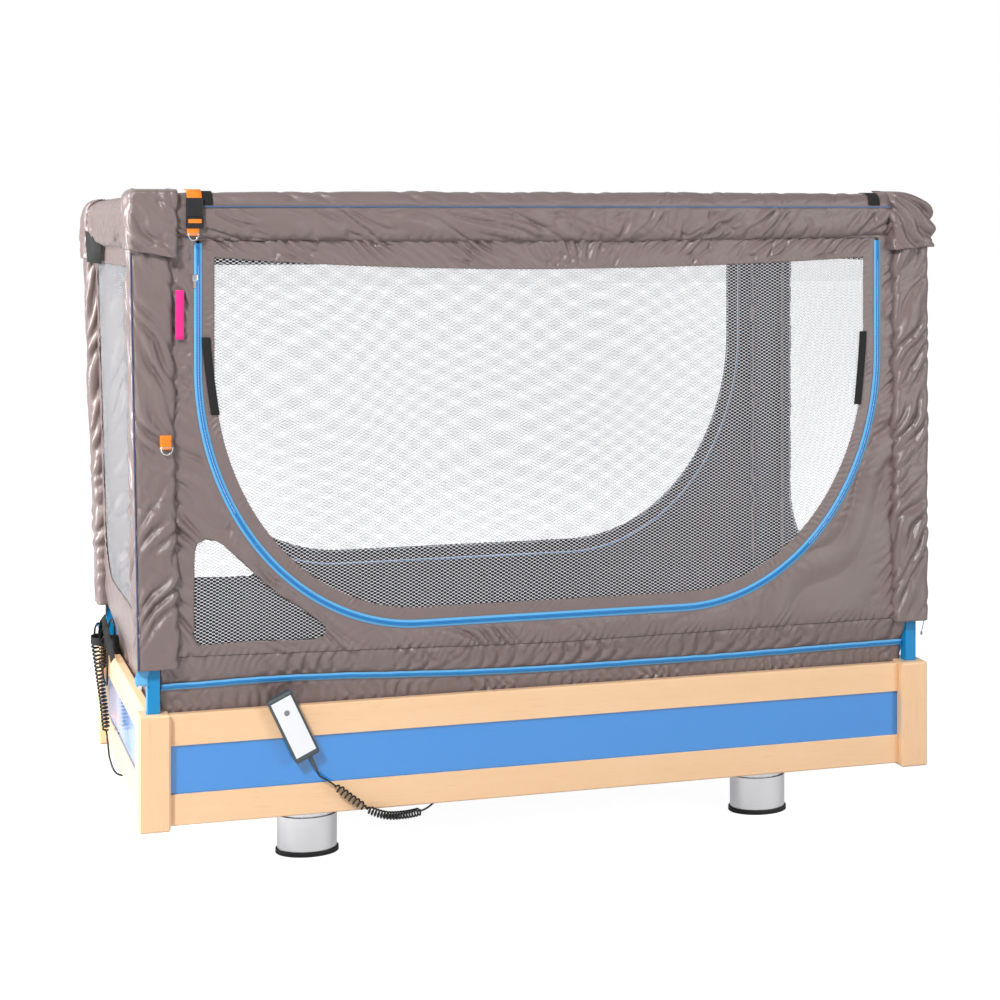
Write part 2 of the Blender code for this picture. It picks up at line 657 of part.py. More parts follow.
def surround():
    """Corner posts with sockets for the tent tubes, and the four boards between them."""
    middle = RAIL_SETBACK + RAIL_THICKNESS / 2
    for side_name, side in SIDES.items():
        board(side_name, "X", side * (HALF_WIDTH - middle), HALF_LENGTH - POST_SIZE)
    for end_name, end in ENDS.items():
        board(end_name, "Y", end * (HALF_LENGTH - middle), HALF_WIDTH - POST_SIZE)
        for side_name, side in SIDES.items():
            x, y = end * TUBE_X, side * TUBE_Y
            half = POST_SIZE / 2
            post = box(
                f"post_{end_name}_{side_name}", (x - half, y - half, POST_BOTTOM),
                (x + half, y + half, POST_TOP), WOOD, edge=POST_EDGE)
            hole = TUBE / 2 + GAP
            cut(post, box(
                f"socket_{end_name}_{side_name}", (x - hole, y - hole, POST_TOP - SOCKET_DEPTH),
                (x + hole, y + hole, POST_TOP + EMBED)))


# Tent frame

def hoop_outline(grow=0.0):
    """The end hoop's outline: two legs and a cross tube, optionally grown as a cutter."""
    outer, inner = TUBE_Y + TUBE / 2 + grow, TUBE_Y - TUBE / 2 - grow
    top = PAD_CENTRE + TUBE / 2 + grow
    under = PAD_CENTRE - TUBE / 2 - grow
    foot = POST_TOP - SOCKET_DEPTH + GAP
    radius = HOOP_CORNER + grow
    left = arc((-outer + radius, top - radius), radius, 180, 90, 4)
    right = arc((outer - radius, top - radius), radius, 90, 0, 4)
    return ([(-outer, foot)] + left + right
            + [(outer, foot), (inner, foot), (inner, under), (-inner, under), (-inner, foot)])


def lead_hook():
    """Bent arm on the rear head leg, over which the mains lead hangs."""
    outside = -TUBE_X - TUBE / 2
    tip = outside - HOOK_REACH
    root_y = TUBE_Y - TUBE / 2 + EMBED
    high = POST_TOP + HOOK_RISE
    low = high - HOOK_THICKNESS
    root = box("hook_root", (tip, root_y - HOOK_WIDTH, low), (outside + HOOK_WIDTH, root_y, high))
    arm = box("hook_arm", (tip, root_y - HOOK_LENGTH, low),
              (tip + HOOK_WIDTH, root_y - HOOK_WIDTH + EMBED, high))
    return root, arm


def tent_frame():
    """Two end hoops and the two long top rails between them."""
    for end_name, end in ENDS.items():
        span = sorted((end * TUBE_X - TUBE / 2, end * TUBE_X + TUBE / 2))
        hoop = outline(f"tent_hoop_{end_name}", [hoop_outline()], span, "X", TUBE_BLUE)
        if end_name == "head":
            join(hoop, *lead_hook())
    reach = TUBE_X - TUBE / 2 - GAP
    for side_name, side in SIDES.items():
        y = side * TUBE_Y
        box(f"top_rail_{side_name}", (-reach, y - TUBE / 2, PAD_CENTRE - TUBE / 2),
            (reach, y + TUBE / 2, PAD_CENTRE + TUBE / 2), TUBE_BLUE)


# Tent cover

def pad_ring(share):
    """Rounded section of a padded edge at a share of its half length, as offsets (across, up)."""
    scale = 1.0 - PAD_DRAW_IN * share ** 6
    points = []
    for index in range(PAD_SIDES):
        angle = 2 * math.pi * (index + 0.5) / PAD_SIDES
        across, up = math.cos(angle), math.sin(angle)
        across = math.copysign(abs(across) ** (2 / PAD_SQUARENESS), across)
        up = math.copysign(abs(up) ** (2 / PAD_SQUARENESS), up)
        points.append((across * PAD_DEPTH / 2 * scale, up * PAD_HEIGHT / 2 * scale))
    return points


def pad(name, along, offset, half_run, finish):
    """A padded edge round a top tube: crowned in the middle and drawn in at its ends."""
    shape = bmesh.new()
    rings = []
    for index in range(PAD_STATIONS):
        share = 2 * index / (PAD_STATIONS - 1) - 1
        run = share * half_run
        ring = []
        for across, up in pad_ring(share):
            if along == "X":
                place = (run, offset + across, PAD_CENTRE + up)
            else:
                place = (offset + across, run, PAD_CENTRE + up)
            ring.append(shape.verts.new(place))
        rings.append(ring)
    for first, second in zip(rings, rings[1:]):
        for index in range(PAD_SIDES):
            after = (index + 1) % PAD_SIDES
            shape.faces.new((first[index], first[after], second[after], second[index]))
    shape.faces.new(rings[0])
    shape.faces.new(rings[-1])
    bmesh.ops.recalc_face_normals(shape, faces=shape.faces)
    mesh = bpy.data.meshes.new(name)
    shape.to_mesh(mesh)
    shape.free()
    return add_object(name, mesh, finish, finish is None)


def rail_cutter(name, y):
    grown = TUBE / 2 + GAP
    return box(name, (-HALF_LENGTH, y - grown, PAD_CENTRE - grown),
               (HALF_LENGTH, y + grown, PAD_CENTRE + grown))


def cap_block(name, end, side):
    """A block round a corner cap that keeps its neighbours clear of it."""
    xs = sorted((end * (CAP_IN_X - GAP), end * (CAP_OUT_X + GAP)))
    ys = sorted((side * (CAP_IN_Y - GAP), side * (CAP_OUT_Y + GAP)))
    return box(name, (xs[0], ys[0], CAP_BOTTOM - GAP), (xs[1], ys[1], CAP_TOP + GAP))


def cap_hood(name, end_name, side):
    """A corner cap: a soft block with an oval shoulder towards the end of the bed."""
    end, shoulder = ENDS[end_name], CAP_SHOULDER[end_name]
    middle = (CAP_OUT_X - shoulder[0], CAP_TOP - shoulder[1])
    loop = [(CAP_IN_X, CAP_TOP), (CAP_IN_X, CAP_BOTTOM), (CAP_OUT_X, CAP_BOTTOM)]
    loop += oval_arc(middle, shoulder, 0, 90, CAP_STEPS)
    span = sorted((side * CAP_IN_Y, side * CAP_OUT_Y))
    hood = outline(name, [[(end * u, v) for u, v in loop]], span, "Y")
    round_edges(hood, CAP_EDGE, 2)
    return hood


def padded_edges():
    """Padded long edges, and padded ends with their corner caps."""
    for side_name, side in SIDES.items():
        edge = pad(f"pad_{side_name}", "X", side * TUBE_Y, CAP_IN_X - GAP, CLOTH_TAUPE)
        cut(edge, rail_cutter(f"pad_bore_{side_name}", side * TUBE_Y))
    for end_name, end in ENDS.items():
        cover = pad(f"end_cover_{end_name}", "Y", end * TUBE_X, CAP_IN_Y + CAP_EDGE, CLOTH_TAUPE)
        for side_name, side in SIDES.items():
            join(cover, cap_hood(f"cap_{end_name}_{side_name}", end_name, side))
        span = sorted((end * TUBE_X - TUBE / 2 - GAP, end * TUBE_X + TUBE / 2 + GAP))
        cut(cover, outline(f"cover_bore_{end_name}", [hoop_outline(GAP)], span, "X"))
        for side_name, side in SIDES.items():
            cut(cover, rail_cutter(f"cover_rail_{end_name}_{side_name}", side * TUBE_Y))


def grid_lines(notch, half, cells):
    """Even lines between two notches, with one more at each edge."""
    inner = [notch * (2 * index / cells - 1) for index in range(cells + 1)]
    return [-half, *inner, half]


def roof():
    """Roof sheet hung between the padded edges, with a shallow sag, clear of the corner caps."""
    half_x = TUBE_X - PAD_DEPTH / 2 - GAP
    half_y = TUBE_Y - PAD_DEPTH / 2 - GAP
    columns = grid_lines(CAP_IN_X - GAP, half_x, ROOF_CELLS[0])
    rows = grid_lines(CAP_IN_Y - GAP, half_y, ROOF_CELLS[1])
    shape = bmesh.new()
    grid = []
    for x in columns:
        u = x / half_x
        line = []
        for y in rows:
            v = y / half_y
            sag = ROOF_SAG * (1 - u * u) * (1 - v * v)
            line.append(shape.verts.new((x, y, ROOF_HEIGHT - sag)))
        grid.append(line)
    last = (len(columns) - 2, len(rows) - 2)
    for i in range(last[0] + 1):
        for j in range(last[1] + 1):
            if i in (0, last[0]) and j in (0, last[1]):
                continue
            shape.faces.new((grid[i][j], grid[i + 1][j], grid[i + 1][j + 1], grid[i][j + 1]))
    loose = [vert for vert in shape.verts if not vert.link_faces]
    bmesh.ops.delete(shape, geom=loose, context="VERTS")
    bmesh.ops.triangulate(shape, faces=shape.faces)
    mesh = bpy.data.meshes.new("roof")
    shape.to_mesh(mesh)
    shape.free()
    sheet = add_object("roof", mesh, CLOTH_TAUPE)
    thick = sheet.modifiers.new("cloth", "SOLIDIFY")
    thick.thickness = CLOTH


def wall_section(plane, tuck, outward):
    """Closed section of a tent wall: upright cloth, then the band that leans in behind the rail."""
    line = [(plane, CLOTH_TOP), (plane, WALL_BEND), (tuck, BAND_TUCK), (tuck, BAND_HEM)]
    front = [(outward * (u + CLOTH / 2), v) for u, v in line]
    back = [(outward * (u - CLOTH / 2), v) for u, v in reversed(line)]
    return front + back


def door_outline(inset, top):
    """The door's round-cornered outline, set in from the zip."""
    half = DOOR_HALF_WIDTH - inset
    radii = [size - inset for size in DOOR_CORNER]
    centre_x = DOOR_HALF_WIDTH - DOOR_CORNER[0]
    centre_z = DOOR_BOTTOM + DOOR_CORNER[1]
    left = oval_arc((-centre_x, centre_z), radii, 180, 270, ARC_STEPS)
    right = oval_arc((centre_x, centre_z), radii, 270, 360, ARC_STEPS)
    return [(-half, top)] + left + right + [(half, top)]


def vent_outline(inset):
    """Three-cornered vent between the door's round corner and the sleeve."""
    low_x, high_x = VENT_LEFT + inset, VENT_LEFT + VENT_WIDTH - inset
    low_z, high_z = VENT_FOOT + inset, VENT_FOOT + VENT_HEIGHT - inset
    radii = [size + VENT_BORDER + inset for size in DOOR_CORNER]
    centre = (DOOR_CORNER[0] - DOOR_HALF_WIDTH, DOOR_BOTTOM + DOOR_CORNER[1])
    rise = math.degrees(math.asin((high_z - centre[1]) / radii[1]))
    fall = math.degrees(math.acos((high_x - centre[0]) / radii[0]))
    curve = oval_arc(centre, radii, 180 - rise, 360 - fall, ARC_STEPS // 2)
    return [(low_x, low_z), (low_x, high_z)] + curve + [(high_x, low_z)]


def long_wall(side_name):
    """Front or rear wall: sleeves round the tent tubes, and cloth round the door."""
    side = SIDES[side_name]
    tuck = RAIL_INSIDE_Y - BAND_CLEARANCE
    edge = SLEEVE_IN_X + SLEEVE_WALL / 2
    wall = outline(f"wall_{side_name}", [wall_section(WALL_Y, tuck, side)], (-edge, edge), "X",
                   CLOTH_TAUPE)
    depth = sorted((side * (WALL_Y - CLOTH), side * (WALL_Y + CLOTH)))
    cut(wall, outline(f"door_hole_{side_name}", [door_outline(0.0, TENT_TOP)], depth, "Y"))
    for end_name, end in ENDS.items():
        cut(wall, cap_block(f"wall_corner_{end_name}_{side_name}", end, side))
        xs = sorted((end * SLEEVE_OUT_X, end * SLEEVE_IN_X))
        ys = sorted((side * SLEEVE_OUT_Y, side * SLEEVE_IN_Y))
        hollow = SLEEVE_WALL
        join(wall, outline(f"sleeve_{end_name}_{side_name}", [
            rounded_rectangle((xs[0], ys[0]), (xs[1], ys[1]), SLEEVE_EDGE),
            rounded_rectangle((xs[0] + hollow, ys[0] + hollow), (xs[1] - hollow, ys[1] - hollow),
                              SLEEVE_EDGE - hollow)],
            (SLEEVE_HEM, CAP_BOTTOM - GAP), "Z"))
    if side_name == "front":
        pane = sorted((side * (WALL_Y - MESH / 2), side * (WALL_Y + MESH / 2)))
        cut(wall, outline("vent_hole", [vent_outline(0.0)], depth, "Y"))
        join(wall, outline("vent_mesh", [vent_outline(-MESH_LAP)], pane, "Y"))


def door(side_name):
    """Door of one long side: cloth border and mesh pane, turning on its outer top edge."""
    side = SIDES[side_name]
    axis = (0.0, side * (WALL_Y + CLOTH / 2), CLOTH_TOP)
    faces = sorted((side * (WALL_Y - CLOTH / 2), side * (WALL_Y + CLOTH / 2)))
    pane = sorted((side * (WALL_Y - MESH / 2), side * (WALL_Y + MESH / 2)))
    window_top = CLOTH_TOP - DOOR_TOP_BORDER
    leaf = outline(f"{side_name}_door", [
        door_outline(ZIP_GAP, CLOTH_TOP), door_outline(DOOR_BORDER, window_top)],
        faces, "Y", CLOTH_TAUPE, axis)
    mesh_edge = door_outline(DOOR_BORDER - MESH_LAP, window_top + MESH_LAP)
    join(leaf, outline(f"{side_name}_door_mesh", [mesh_edge], pane, "Y"))


def window_outline(grow):
    """End window: wide round corners below and square ones above."""
    half, radius = WINDOW_HALF_WIDTH + grow, WINDOW_RADIUS + grow
    bottom, top = WINDOW_BOTTOM - grow, WINDOW_TOP + grow
    left = arc((-half + radius, bottom + radius), radius, 180, 270, ARC_STEPS // 2)
    right = arc((half - radius, bottom + radius), radius, 270, 360, ARC_STEPS // 2)
    return [(-half, top)] + left + right + [(half, top)]


def end_wall(end_name):
    """Head or foot wall between the sleeves, with a mesh window."""
    end = ENDS[end_name]
    tuck = RAIL_INSIDE_X - BAND_CLEARANCE
    half = SLEEVE_IN_Y - GAP
    wall = outline(f"wall_{end_name}", [wall_section(WALL_X, tuck, end)], (-half, half), "Y",
                   CLOTH_TAUPE)
    depth = sorted((end * (WALL_X - CLOTH), end * (WALL_X + CLOTH)))
    pane = sorted((end * (WALL_X - MESH / 2), end * (WALL_X + MESH / 2)))
    for side_name, side in SIDES.items():
        cut(wall, cap_block(f"end_corner_{end_name}_{side_name}", end, side))
    cut(wall, outline(f"window_{end_name}", [window_outline(0.0)], depth, "X"))
    join(wall, outline(f"window_mesh_{end_name}", [window_outline(MESH_LAP)], pane, "X"))


# Strap, buckle and zip slider

def corner_strap():
    """Strap with the buckle's socket at the front left corner, and the clip that leaves it."""
    half = STRAP_WIDTH / 2
    pad_front = max(across for across, up in pad_ring((STRAP_X + half) / CAP_IN_X))
    face = -(TUBE_Y + pad_front) - GAP
    top = TENT_TOP - STRAP_DROP
    strap = box("corner_strap", (STRAP_X - half, face - STRAP_THICKNESS, top - STRAP_LENGTH),
                (STRAP_X + half, face, top), ORANGE)
    front = face - STRAP_THICKNESS
    wide = BUCKLE_WIDTH / 2
    socket_top = TENT_TOP - BUCKLE_DROP
    mouth = socket_top - BUCKLE_LENGTH
    join(strap, box(
        "buckle_socket", (STRAP_X - wide, front - BUCKLE_THICKNESS, mouth),
        (STRAP_X + wide, front + STRAP_THICKNESS / 2, socket_top)))
    middle = front - BUCKLE_THICKNESS / 2
    width, thickness, length = TONGUE
    cut(strap, box(
        "tongue_slot", (STRAP_X - width / 2 - GAP, middle - thickness / 2 - GAP, mouth - EMBED),
        (STRAP_X + width / 2 + GAP, middle + thickness / 2 + GAP, mouth + length + GAP)))
    clip = box(
        "buckle_clip", (STRAP_X - wide, front - BUCKLE_THICKNESS, mouth - GAP - CLIP_HEIGHT),
        (STRAP_X + wide, front - GAP, mouth - GAP), BLACK)
    join(clip, box(
        "clip_tongue", (STRAP_X - width / 2, middle - thickness / 2, mouth - EMBED),
        (STRAP_X + width / 2, middle + thickness / 2, mouth + length)))


def zip_slider():
    """Slider with its pull on the straight left run of the front door's zip."""
    width, thickness, length = SLIDER_SIZE
    face = -(WALL_Y + CLOTH / 2) - GAP
    middle = -DOOR_HALF_WIDTH - GAP - width / 2
    slider = box(
        "zip_slider", (middle - width / 2, face - thickness, SLIDER_AT - width),
        (middle + width / 2, face, SLIDER_AT), STEEL, edge=thickness / 4)
    join(slider, box(
        "zip_pull", (middle - width / 4, face - thickness / 2, SLIDER_AT - length),
        (middle + width / 4, face - thickness / 4, SLIDER_AT - width / 2)))


# Handset

def handset():
    """Handset leaning on the front rail: casing with hook, face plate and key."""
    width, depth, length = HANDSET_SIZE
    back = -(HALF_WIDTH - RAIL_SETBACK) - GAP
    middle = Vector((HANDSET_AT[0], back - depth / 2, HANDSET_AT[1]))
    turn = Matrix.Rotation(HANDSET_TILT, 4, "Y")
    pose = Matrix.Translation(middle) @ turn
    front = -depth / 2
    casing = box("handset", (-width / 2, -depth / 2, -length / 2),
                 (width / 2, depth / 2, length / 2), HANDSET_GREY, HANDSET_EDGE)
    face_low = (-width / 2 + FACE_MARGIN, -length / 2 + FACE_BOTTOM_MARGIN)
    face_high = (width / 2 - FACE_MARGIN, length / 2 - FACE_TOP_MARGIN)
    recess = box("face_recess", (face_low[0] - GAP, front - EMBED, face_low[1] - GAP),
                 (face_high[0] + GAP, front + FACE_DEPTH + GAP, face_high[1] + GAP))
    plate = box("handset_face", (face_low[0], front, face_low[1]),
                (face_high[0], front + FACE_DEPTH, face_high[1]), WHITE)
    well = rod("key_well", (0.0, front - EMBED, KEY_UP), (0.0, front + KEY_RECESS, KEY_UP),
               KEY_RADIUS + GAP)
    key = rod("handset_key", (0.0, front - KEY_PROUD, KEY_UP), (0.0, front + KEY_DEPTH, KEY_UP),
              KEY_RADIUS, WHITE)
    relief = rod(
        "strain_relief", (RELIEF_OFFSET, 0.0, -length / 2 + EMBED),
        (RELIEF_OFFSET, 0.0, -length / 2 - RELIEF_LENGTH), RELIEF_RADII[0],
        end_radius=RELIEF_RADII[1])
    for piece in (casing, recess, plate, well, key, relief):
        piece.matrix_world = pose @ piece.matrix_basis
    lug_width, lug_depth, lug_height = HOOK_LUG
    lug_x = middle.x - (RAIL_TOP - middle.z) * math.tan(-HANDSET_TILT)
    lug = box("handset_lug", (lug_x - lug_width / 2, back - EMBED, RAIL_TOP + GAP),
              (lug_x + lug_width / 2, back + lug_depth, RAIL_TOP + GAP + lug_height))
    cut(casing, recess, well)
    join(casing, lug, relief)
    cut(plate, well)
    return pose @ Vector((RELIEF_OFFSET, 0.0, -length / 2 - RELIEF_LENGTH))


# Cords

def smooth_path(points, samples=24):
    """A smooth curve through the route's points, densely sampled."""
    padded = [2 * points[0] - points[1], *points, 2 * points[-1] - points[-2]]
    path = []
    for before, start, end, after in zip(padded, padded[1:], padded[2:], padded[3:]):
        for index in range(samples):
            t = index / samples
            path.append(0.5 * (
                2 * start + (end - before) * t
                + (2 * before - 5 * start + 4 * end - after) * t ** 2
                + (3 * start - before - 3 * end + after) * t ** 3))
    path.append(points[-1])
    return path


def frames_along(path):
    """Running length, and two directions across the path carried along it without twist."""
    lengths, across, frames = [0.0], None, []
    for index, place in enumerate(path):
        nearby = path[min(index + 1, len(path) - 1)] - path[max(index - 1, 0)]
        ahead = nearby.normalized()
        if across is None:
            across = ahead.orthogonal().normalized()
        across = (across - ahead * across.dot(ahead)).normalized()
        frames.append((across, ahead.cross(across)))
        if index:
            lengths.append(lengths[-1] + (place - path[index - 1]).length)
    return lengths, frames


def place_at(path, lengths, frames, run):
    """Interpolated place and frame at a running length."""
    high = next((i for i, length in enumerate(lengths) if length >= run), len(lengths) - 1)
    low = max(high - 1, 0)
    step = lengths[high] - lengths[low]
    share = (run - lengths[low]) / step if step else 0.0
    return path[low].lerp(path[high], share), frames[high]


def curly_points(route, diameter, curls):
    """Points of a cord along a route, wound into curls between pairs of route points."""
    path = smooth_path(route)
    lengths, frames = frames_along(path)
    samples = (len(path) - 1) // (len(route) - 1)
    at = [lengths[min(index * samples, len(lengths) - 1)] for index in range(len(route))]
    points, run, turn = [], 0.0, 0.0
    step = diameter * STRAIGHT_STEP
    zones = [(at[first], at[last], count) for first, last, count in curls]
    while run < lengths[-1]:
        zone = next((z for z in zones if z[0] <= run < z[1] - 1e-9), None)
        place, (across, over) = place_at(path, lengths, frames, run)
        if zone is None:
            points.append(place)
            following = min((z[0] for z in zones if z[0] > run + 1e-9), default=lengths[-1])
            pieces = max(1, round((following - run) / step))
            run += (following - run) / pieces
            continue
        start, end, count = zone
        total = count * CURL_POINTS
        for index in range(total):
            run = start + (end - start) * index / total
            place, (across, over) = place_at(path, lengths, frames, run)
            turns = min(index, total - index) / CURL_POINTS
            radius = CURL_RADIUS * min(1.0, turns)
            angle = turn + 2 * math.pi * index / CURL_POINTS
            points.append(place + radius * (math.cos(angle) * across + math.sin(angle) * over))
        turn += 2 * math.pi * total / CURL_POINTS
        run = end
    points.append(path[-1])
    return points


def self_gap(points, diameter):
    """Least gap of a cord to itself, measured on points a few diameters apart along it."""
    lengths = [0.0]
    for first, second in zip(points, points[1:]):
        lengths.append(lengths[-1] + (second - first).length)
    least = math.inf
    for i, first in enumerate(points):
        for j in range(i + 1, len(points)):
            if lengths[j] - lengths[i] > 5 * diameter:
                least = min(least, (points[j] - first).length)
    return least - diameter, lengths[-1]


def cord(name, route, diameter, curls):
    """A cord as one unbroken tube along its route."""
    points = curly_points([Vector(point) for point in route], diameter, curls)
    gap, length = self_gap(points, diameter)
    print(f"{name}: length {length:.3f} m, least gap to itself {gap * 1000:.2f} mm")
    curve = bpy.data.curves.new(name, "CURVE")
    curve.dimensions = "3D"
    curve.bevel_depth = diameter / 2
    curve.bevel_resolution = 1
    curve.resolution_u = 1
    curve.render_resolution_u = 0
    curve.use_fill_caps = True
    spline = curve.splines.new("POLY")
    spline.points.add(len(points) - 1)
    for point, place in zip(spline.points, points):
        point.co = (*place, 1.0)
    add_object(name, curve, BLACK)


def cords(relief_tip):
    """Handset cord to the control box, and the mains lead with its plug."""
    front = CONTROL_Y - GAP
    tip = Vector(relief_tip)
    outward = Vector((-math.sin(HANDSET_TILT), 0.0, -math.cos(HANDSET_TILT)))
    cord("handset_cord", [
        tip + outward * GAP, tip + outward * STRAIGHT_EXIT, (-0.622, -0.4885, 0.246),
        (-0.599, -0.4890, 0.229), (-0.560, -0.4890, 0.196), (-0.515, -0.4890, 0.163),
        (-0.466, -0.4880, 0.1415), (-0.412, -0.4760, 0.1345), (-0.362, -0.4560, 0.1345),
        (-0.322, -0.4280, 0.143), (-0.262, -0.3950, 0.180), (-0.200, -0.3680, 0.235),
        (-0.140, -0.3480, 0.285), (-0.105, -0.3280, 0.303), (-0.100, -0.3140, 0.305),
        (-0.100, front, 0.305)], HANDSET_CORD, [(3, 5, 8), (5, 8, 19)])
    side = CONTROL_X - GAP
    plug_top = RAIL_TOP + GAP + PLUG_HEIGHT + GAP
    cord("mains_cord", [
        (side, -0.200, 0.310), (side - STRAIGHT_EXIT, -0.200, 0.310), (-0.240, -0.190, 0.300),
        (-0.400, -0.140, 0.262), (-0.600, -0.030, 0.215), (-0.800, 0.060, 0.172),
        (-0.960, 0.100, 0.142), (-1.040, 0.110, 0.134), (-1.083, 0.120, 0.140),
        (-1.098, 0.150, 0.170), (-1.099, 0.195, 0.202), (-1.100, 0.225, 0.232),
        (-1.102, 0.285, 0.300), (-1.108, 0.345, 0.375), (-1.1165, 0.386, 0.455),
        (-1.1160, 0.390, 0.480), (-1.1135, 0.391, 0.4985), (-1.1035, 0.393, 0.5080),
        (-1.0935, 0.395, 0.4985), (-1.0915, 0.397, 0.480), (-1.0915, 0.398, 0.465),
        (-1.0915, 0.398, 0.372), (-1.0905, 0.395, 0.350), (-1.0870, 0.385, 0.335),
        (-1.0845, 0.370, 0.331), (-1.0840, 0.356, 0.340), (-1.0838, 0.349, 0.365),
        (-1.0838, 0.347, 0.430), (-1.0830, 0.345, 0.490), (-1.0790, 0.336, 0.520),
        (-1.0735, 0.321, 0.530), (-1.0700, 0.306, 0.520), (-1.0690, 0.3005, 0.505),
        (*PLUG_AT, plug_top)],
        MAINS_CORD, [(11, 14, 24), (20, 21, 10)])
    plug_foot = RAIL_TOP + GAP
    rod("mains_plug", (*PLUG_AT, plug_foot), (*PLUG_AT, plug_foot + PLUG_HEIGHT), PLUG_RADIUS,
        BLACK, end_radius=PLUG_TOP_RADIUS)


# Build

for end_label in ENDS:
    for side_label in SIDES:
        lifting_column(end_label, side_label)
    cross_beam(end_label)
    end_wall(end_label)
mattress_frame()
lying_surface()
drives()
surround()
tent_frame()
padded_edges()
roof()
for side_label in SIDES:
    long_wall(side_label)
    door(side_label)
corner_strap()
zip_slider()
cords(handset())
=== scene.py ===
# %% [markdown]
# # A tent bed, dressed
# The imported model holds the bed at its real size: a wooden surround on lifting columns, a tube
# frame, and a plain solid for each piece of the tent. This lesson gives it its looks: sewn nylon
# with puckered seams, white net, zips, beech, aluminium and curly leads. Everything is in metres,
# with the head end at -X, the front at -Y and the floor at zero.

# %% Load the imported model
import math

import bpy
import numpy as np
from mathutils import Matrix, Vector
from mathutils.geometry import delaunay_2d_cdt
from mathutils.kdtree import KDTree


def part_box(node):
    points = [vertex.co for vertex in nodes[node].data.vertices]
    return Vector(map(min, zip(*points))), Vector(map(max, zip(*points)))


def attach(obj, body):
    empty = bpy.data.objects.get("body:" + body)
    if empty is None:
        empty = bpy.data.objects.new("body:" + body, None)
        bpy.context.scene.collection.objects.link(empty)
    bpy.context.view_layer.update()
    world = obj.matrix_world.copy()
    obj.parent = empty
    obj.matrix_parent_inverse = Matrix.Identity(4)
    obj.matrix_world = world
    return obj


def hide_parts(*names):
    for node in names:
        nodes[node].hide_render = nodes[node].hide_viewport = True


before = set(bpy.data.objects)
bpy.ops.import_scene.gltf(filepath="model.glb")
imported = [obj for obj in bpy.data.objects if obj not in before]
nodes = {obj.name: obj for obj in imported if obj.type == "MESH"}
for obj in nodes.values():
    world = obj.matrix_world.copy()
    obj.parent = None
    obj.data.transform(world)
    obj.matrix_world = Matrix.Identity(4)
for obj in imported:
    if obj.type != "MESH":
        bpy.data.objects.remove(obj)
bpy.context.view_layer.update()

# %% [markdown]
# ## Camera
# The photograph was taken level, from a little above the tent, with the lens shifted down so that
# uprights stay upright. A shifted lens does the same here, where a tilted camera would make the
# posts lean.

# %% Camera
CAMERA_AT = (-1.7533, -5.6726, 1.7044)
CAMERA_TURN = math.radians(-17.1318)
CAMERA_LENS = 74.185          # mm, on a 36 mm sensor
CAMERA_SHIFT = -0.28883       # of the picture's width

camera = bpy.data.objects.new("camera", bpy.data.cameras.new("camera"))
camera.location = CAMERA_AT
camera.rotation_euler = (math.pi / 2, 0.0, CAMERA_TURN)
camera.data.sensor_width = 36.0
camera.data.lens = CAMERA_LENS
camera.data.shift_y = CAMERA_SHIFT
bpy.context.scene.collection.objects.link(camera)
bpy.context.scene.camera = camera
bpy.context.scene.view_settings.view_transform = "Standard"
print("camera at", CAMERA_AT)

# %% [markdown]
# ## Shader building blocks
# A material is a small graph of nodes. One helper adds a node and links or sets its inputs, and
# the effects that several finishes share are node groups: mottling, weave and wood grain. A group
# hands out colours, masks and heights only, and the shader itself stays in each material.

# %% Node helpers


def feed(tree, socket, value):
    """Link another node's output to a socket, or set the socket to a value."""
    if isinstance(value, bpy.types.NodeSocket):
        tree.links.new(value, socket)
    else:
        socket.default_value = value


def node(tree, kind, inputs=None, **settings):
    """Add a node, set its options, and feed its inputs."""
    made = tree.nodes.new(kind)
    for key, value in settings.items():
        setattr(made, key, value)
    for socket, value in (inputs or {}).items():
        feed(tree, made.inputs[socket], value)
    return made


def math_node(tree, operation, first, second=0.0):
    return node(tree, "ShaderNodeMath", {0: first, 1: second}, operation=operation).outputs[0]


def vector_node(tree, operation, first, second=(0.0, 0.0, 0.0)):
    return node(tree, "ShaderNodeVectorMath", {0: first, 1: second}, operation=operation).outputs[0]


def mix_colour(tree, share, first, second):
    mixed = node(tree, "ShaderNodeMix", data_type="RGBA")
    for index, value in ((0, share), (6, first), (7, second)):
        feed(tree, mixed.inputs[index], value)
    return mixed.outputs[2]


def spread(tree, value, low, high):
    """A value from 0 to 1 spread between two limits."""
    return node(tree, "ShaderNodeMapRange", {"Value": value, "To Min": low, "To Max": high}).outputs[0]


def new_group(name, inputs, outputs):
    """An empty shader group with named sockets."""
    group = bpy.data.node_groups.new(name, "ShaderNodeTree")
    for label, kind in inputs:
        group.interface.new_socket(label, in_out="INPUT", socket_type=f"NodeSocket{kind}")
    for label, kind in outputs:
        group.interface.new_socket(label, in_out="OUTPUT", socket_type=f"NodeSocket{kind}")
    return group, node(group, "NodeGroupInput"), node(group, "NodeGroupOutput")


def colour(red, green, blue):
    """A colour as it looks on a screen, from 0 to 255, for a shader's socket."""
    return (*((part / 255) ** 2.2 for part in (red, green, blue)), 1.0)


def mottle_group():
    """Slow and fine blotches, for colour and gloss that vary over a surface."""
    group, given, result = new_group(
        "mottle", [("Vector", "Vector"), ("Size", "Float")], [("Slow", "Float"), ("Fine", "Float")])
    scale = math_node(group, "DIVIDE", 1.0, given.outputs["Size"])
    slow = node(group, "ShaderNodeTexNoise", {
        "Vector": given.outputs["Vector"], "Scale": scale, "Detail": 3.0})
    fine = node(group, "ShaderNodeTexNoise", {
        "Vector": given.outputs["Vector"], "Scale": math_node(group, "MULTIPLY", scale, 9.0), "Detail": 4.0})
    group.links.new(slow.outputs["Fac"], result.inputs["Slow"])
    group.links.new(fine.outputs["Fac"], result.inputs["Fine"])
    return group


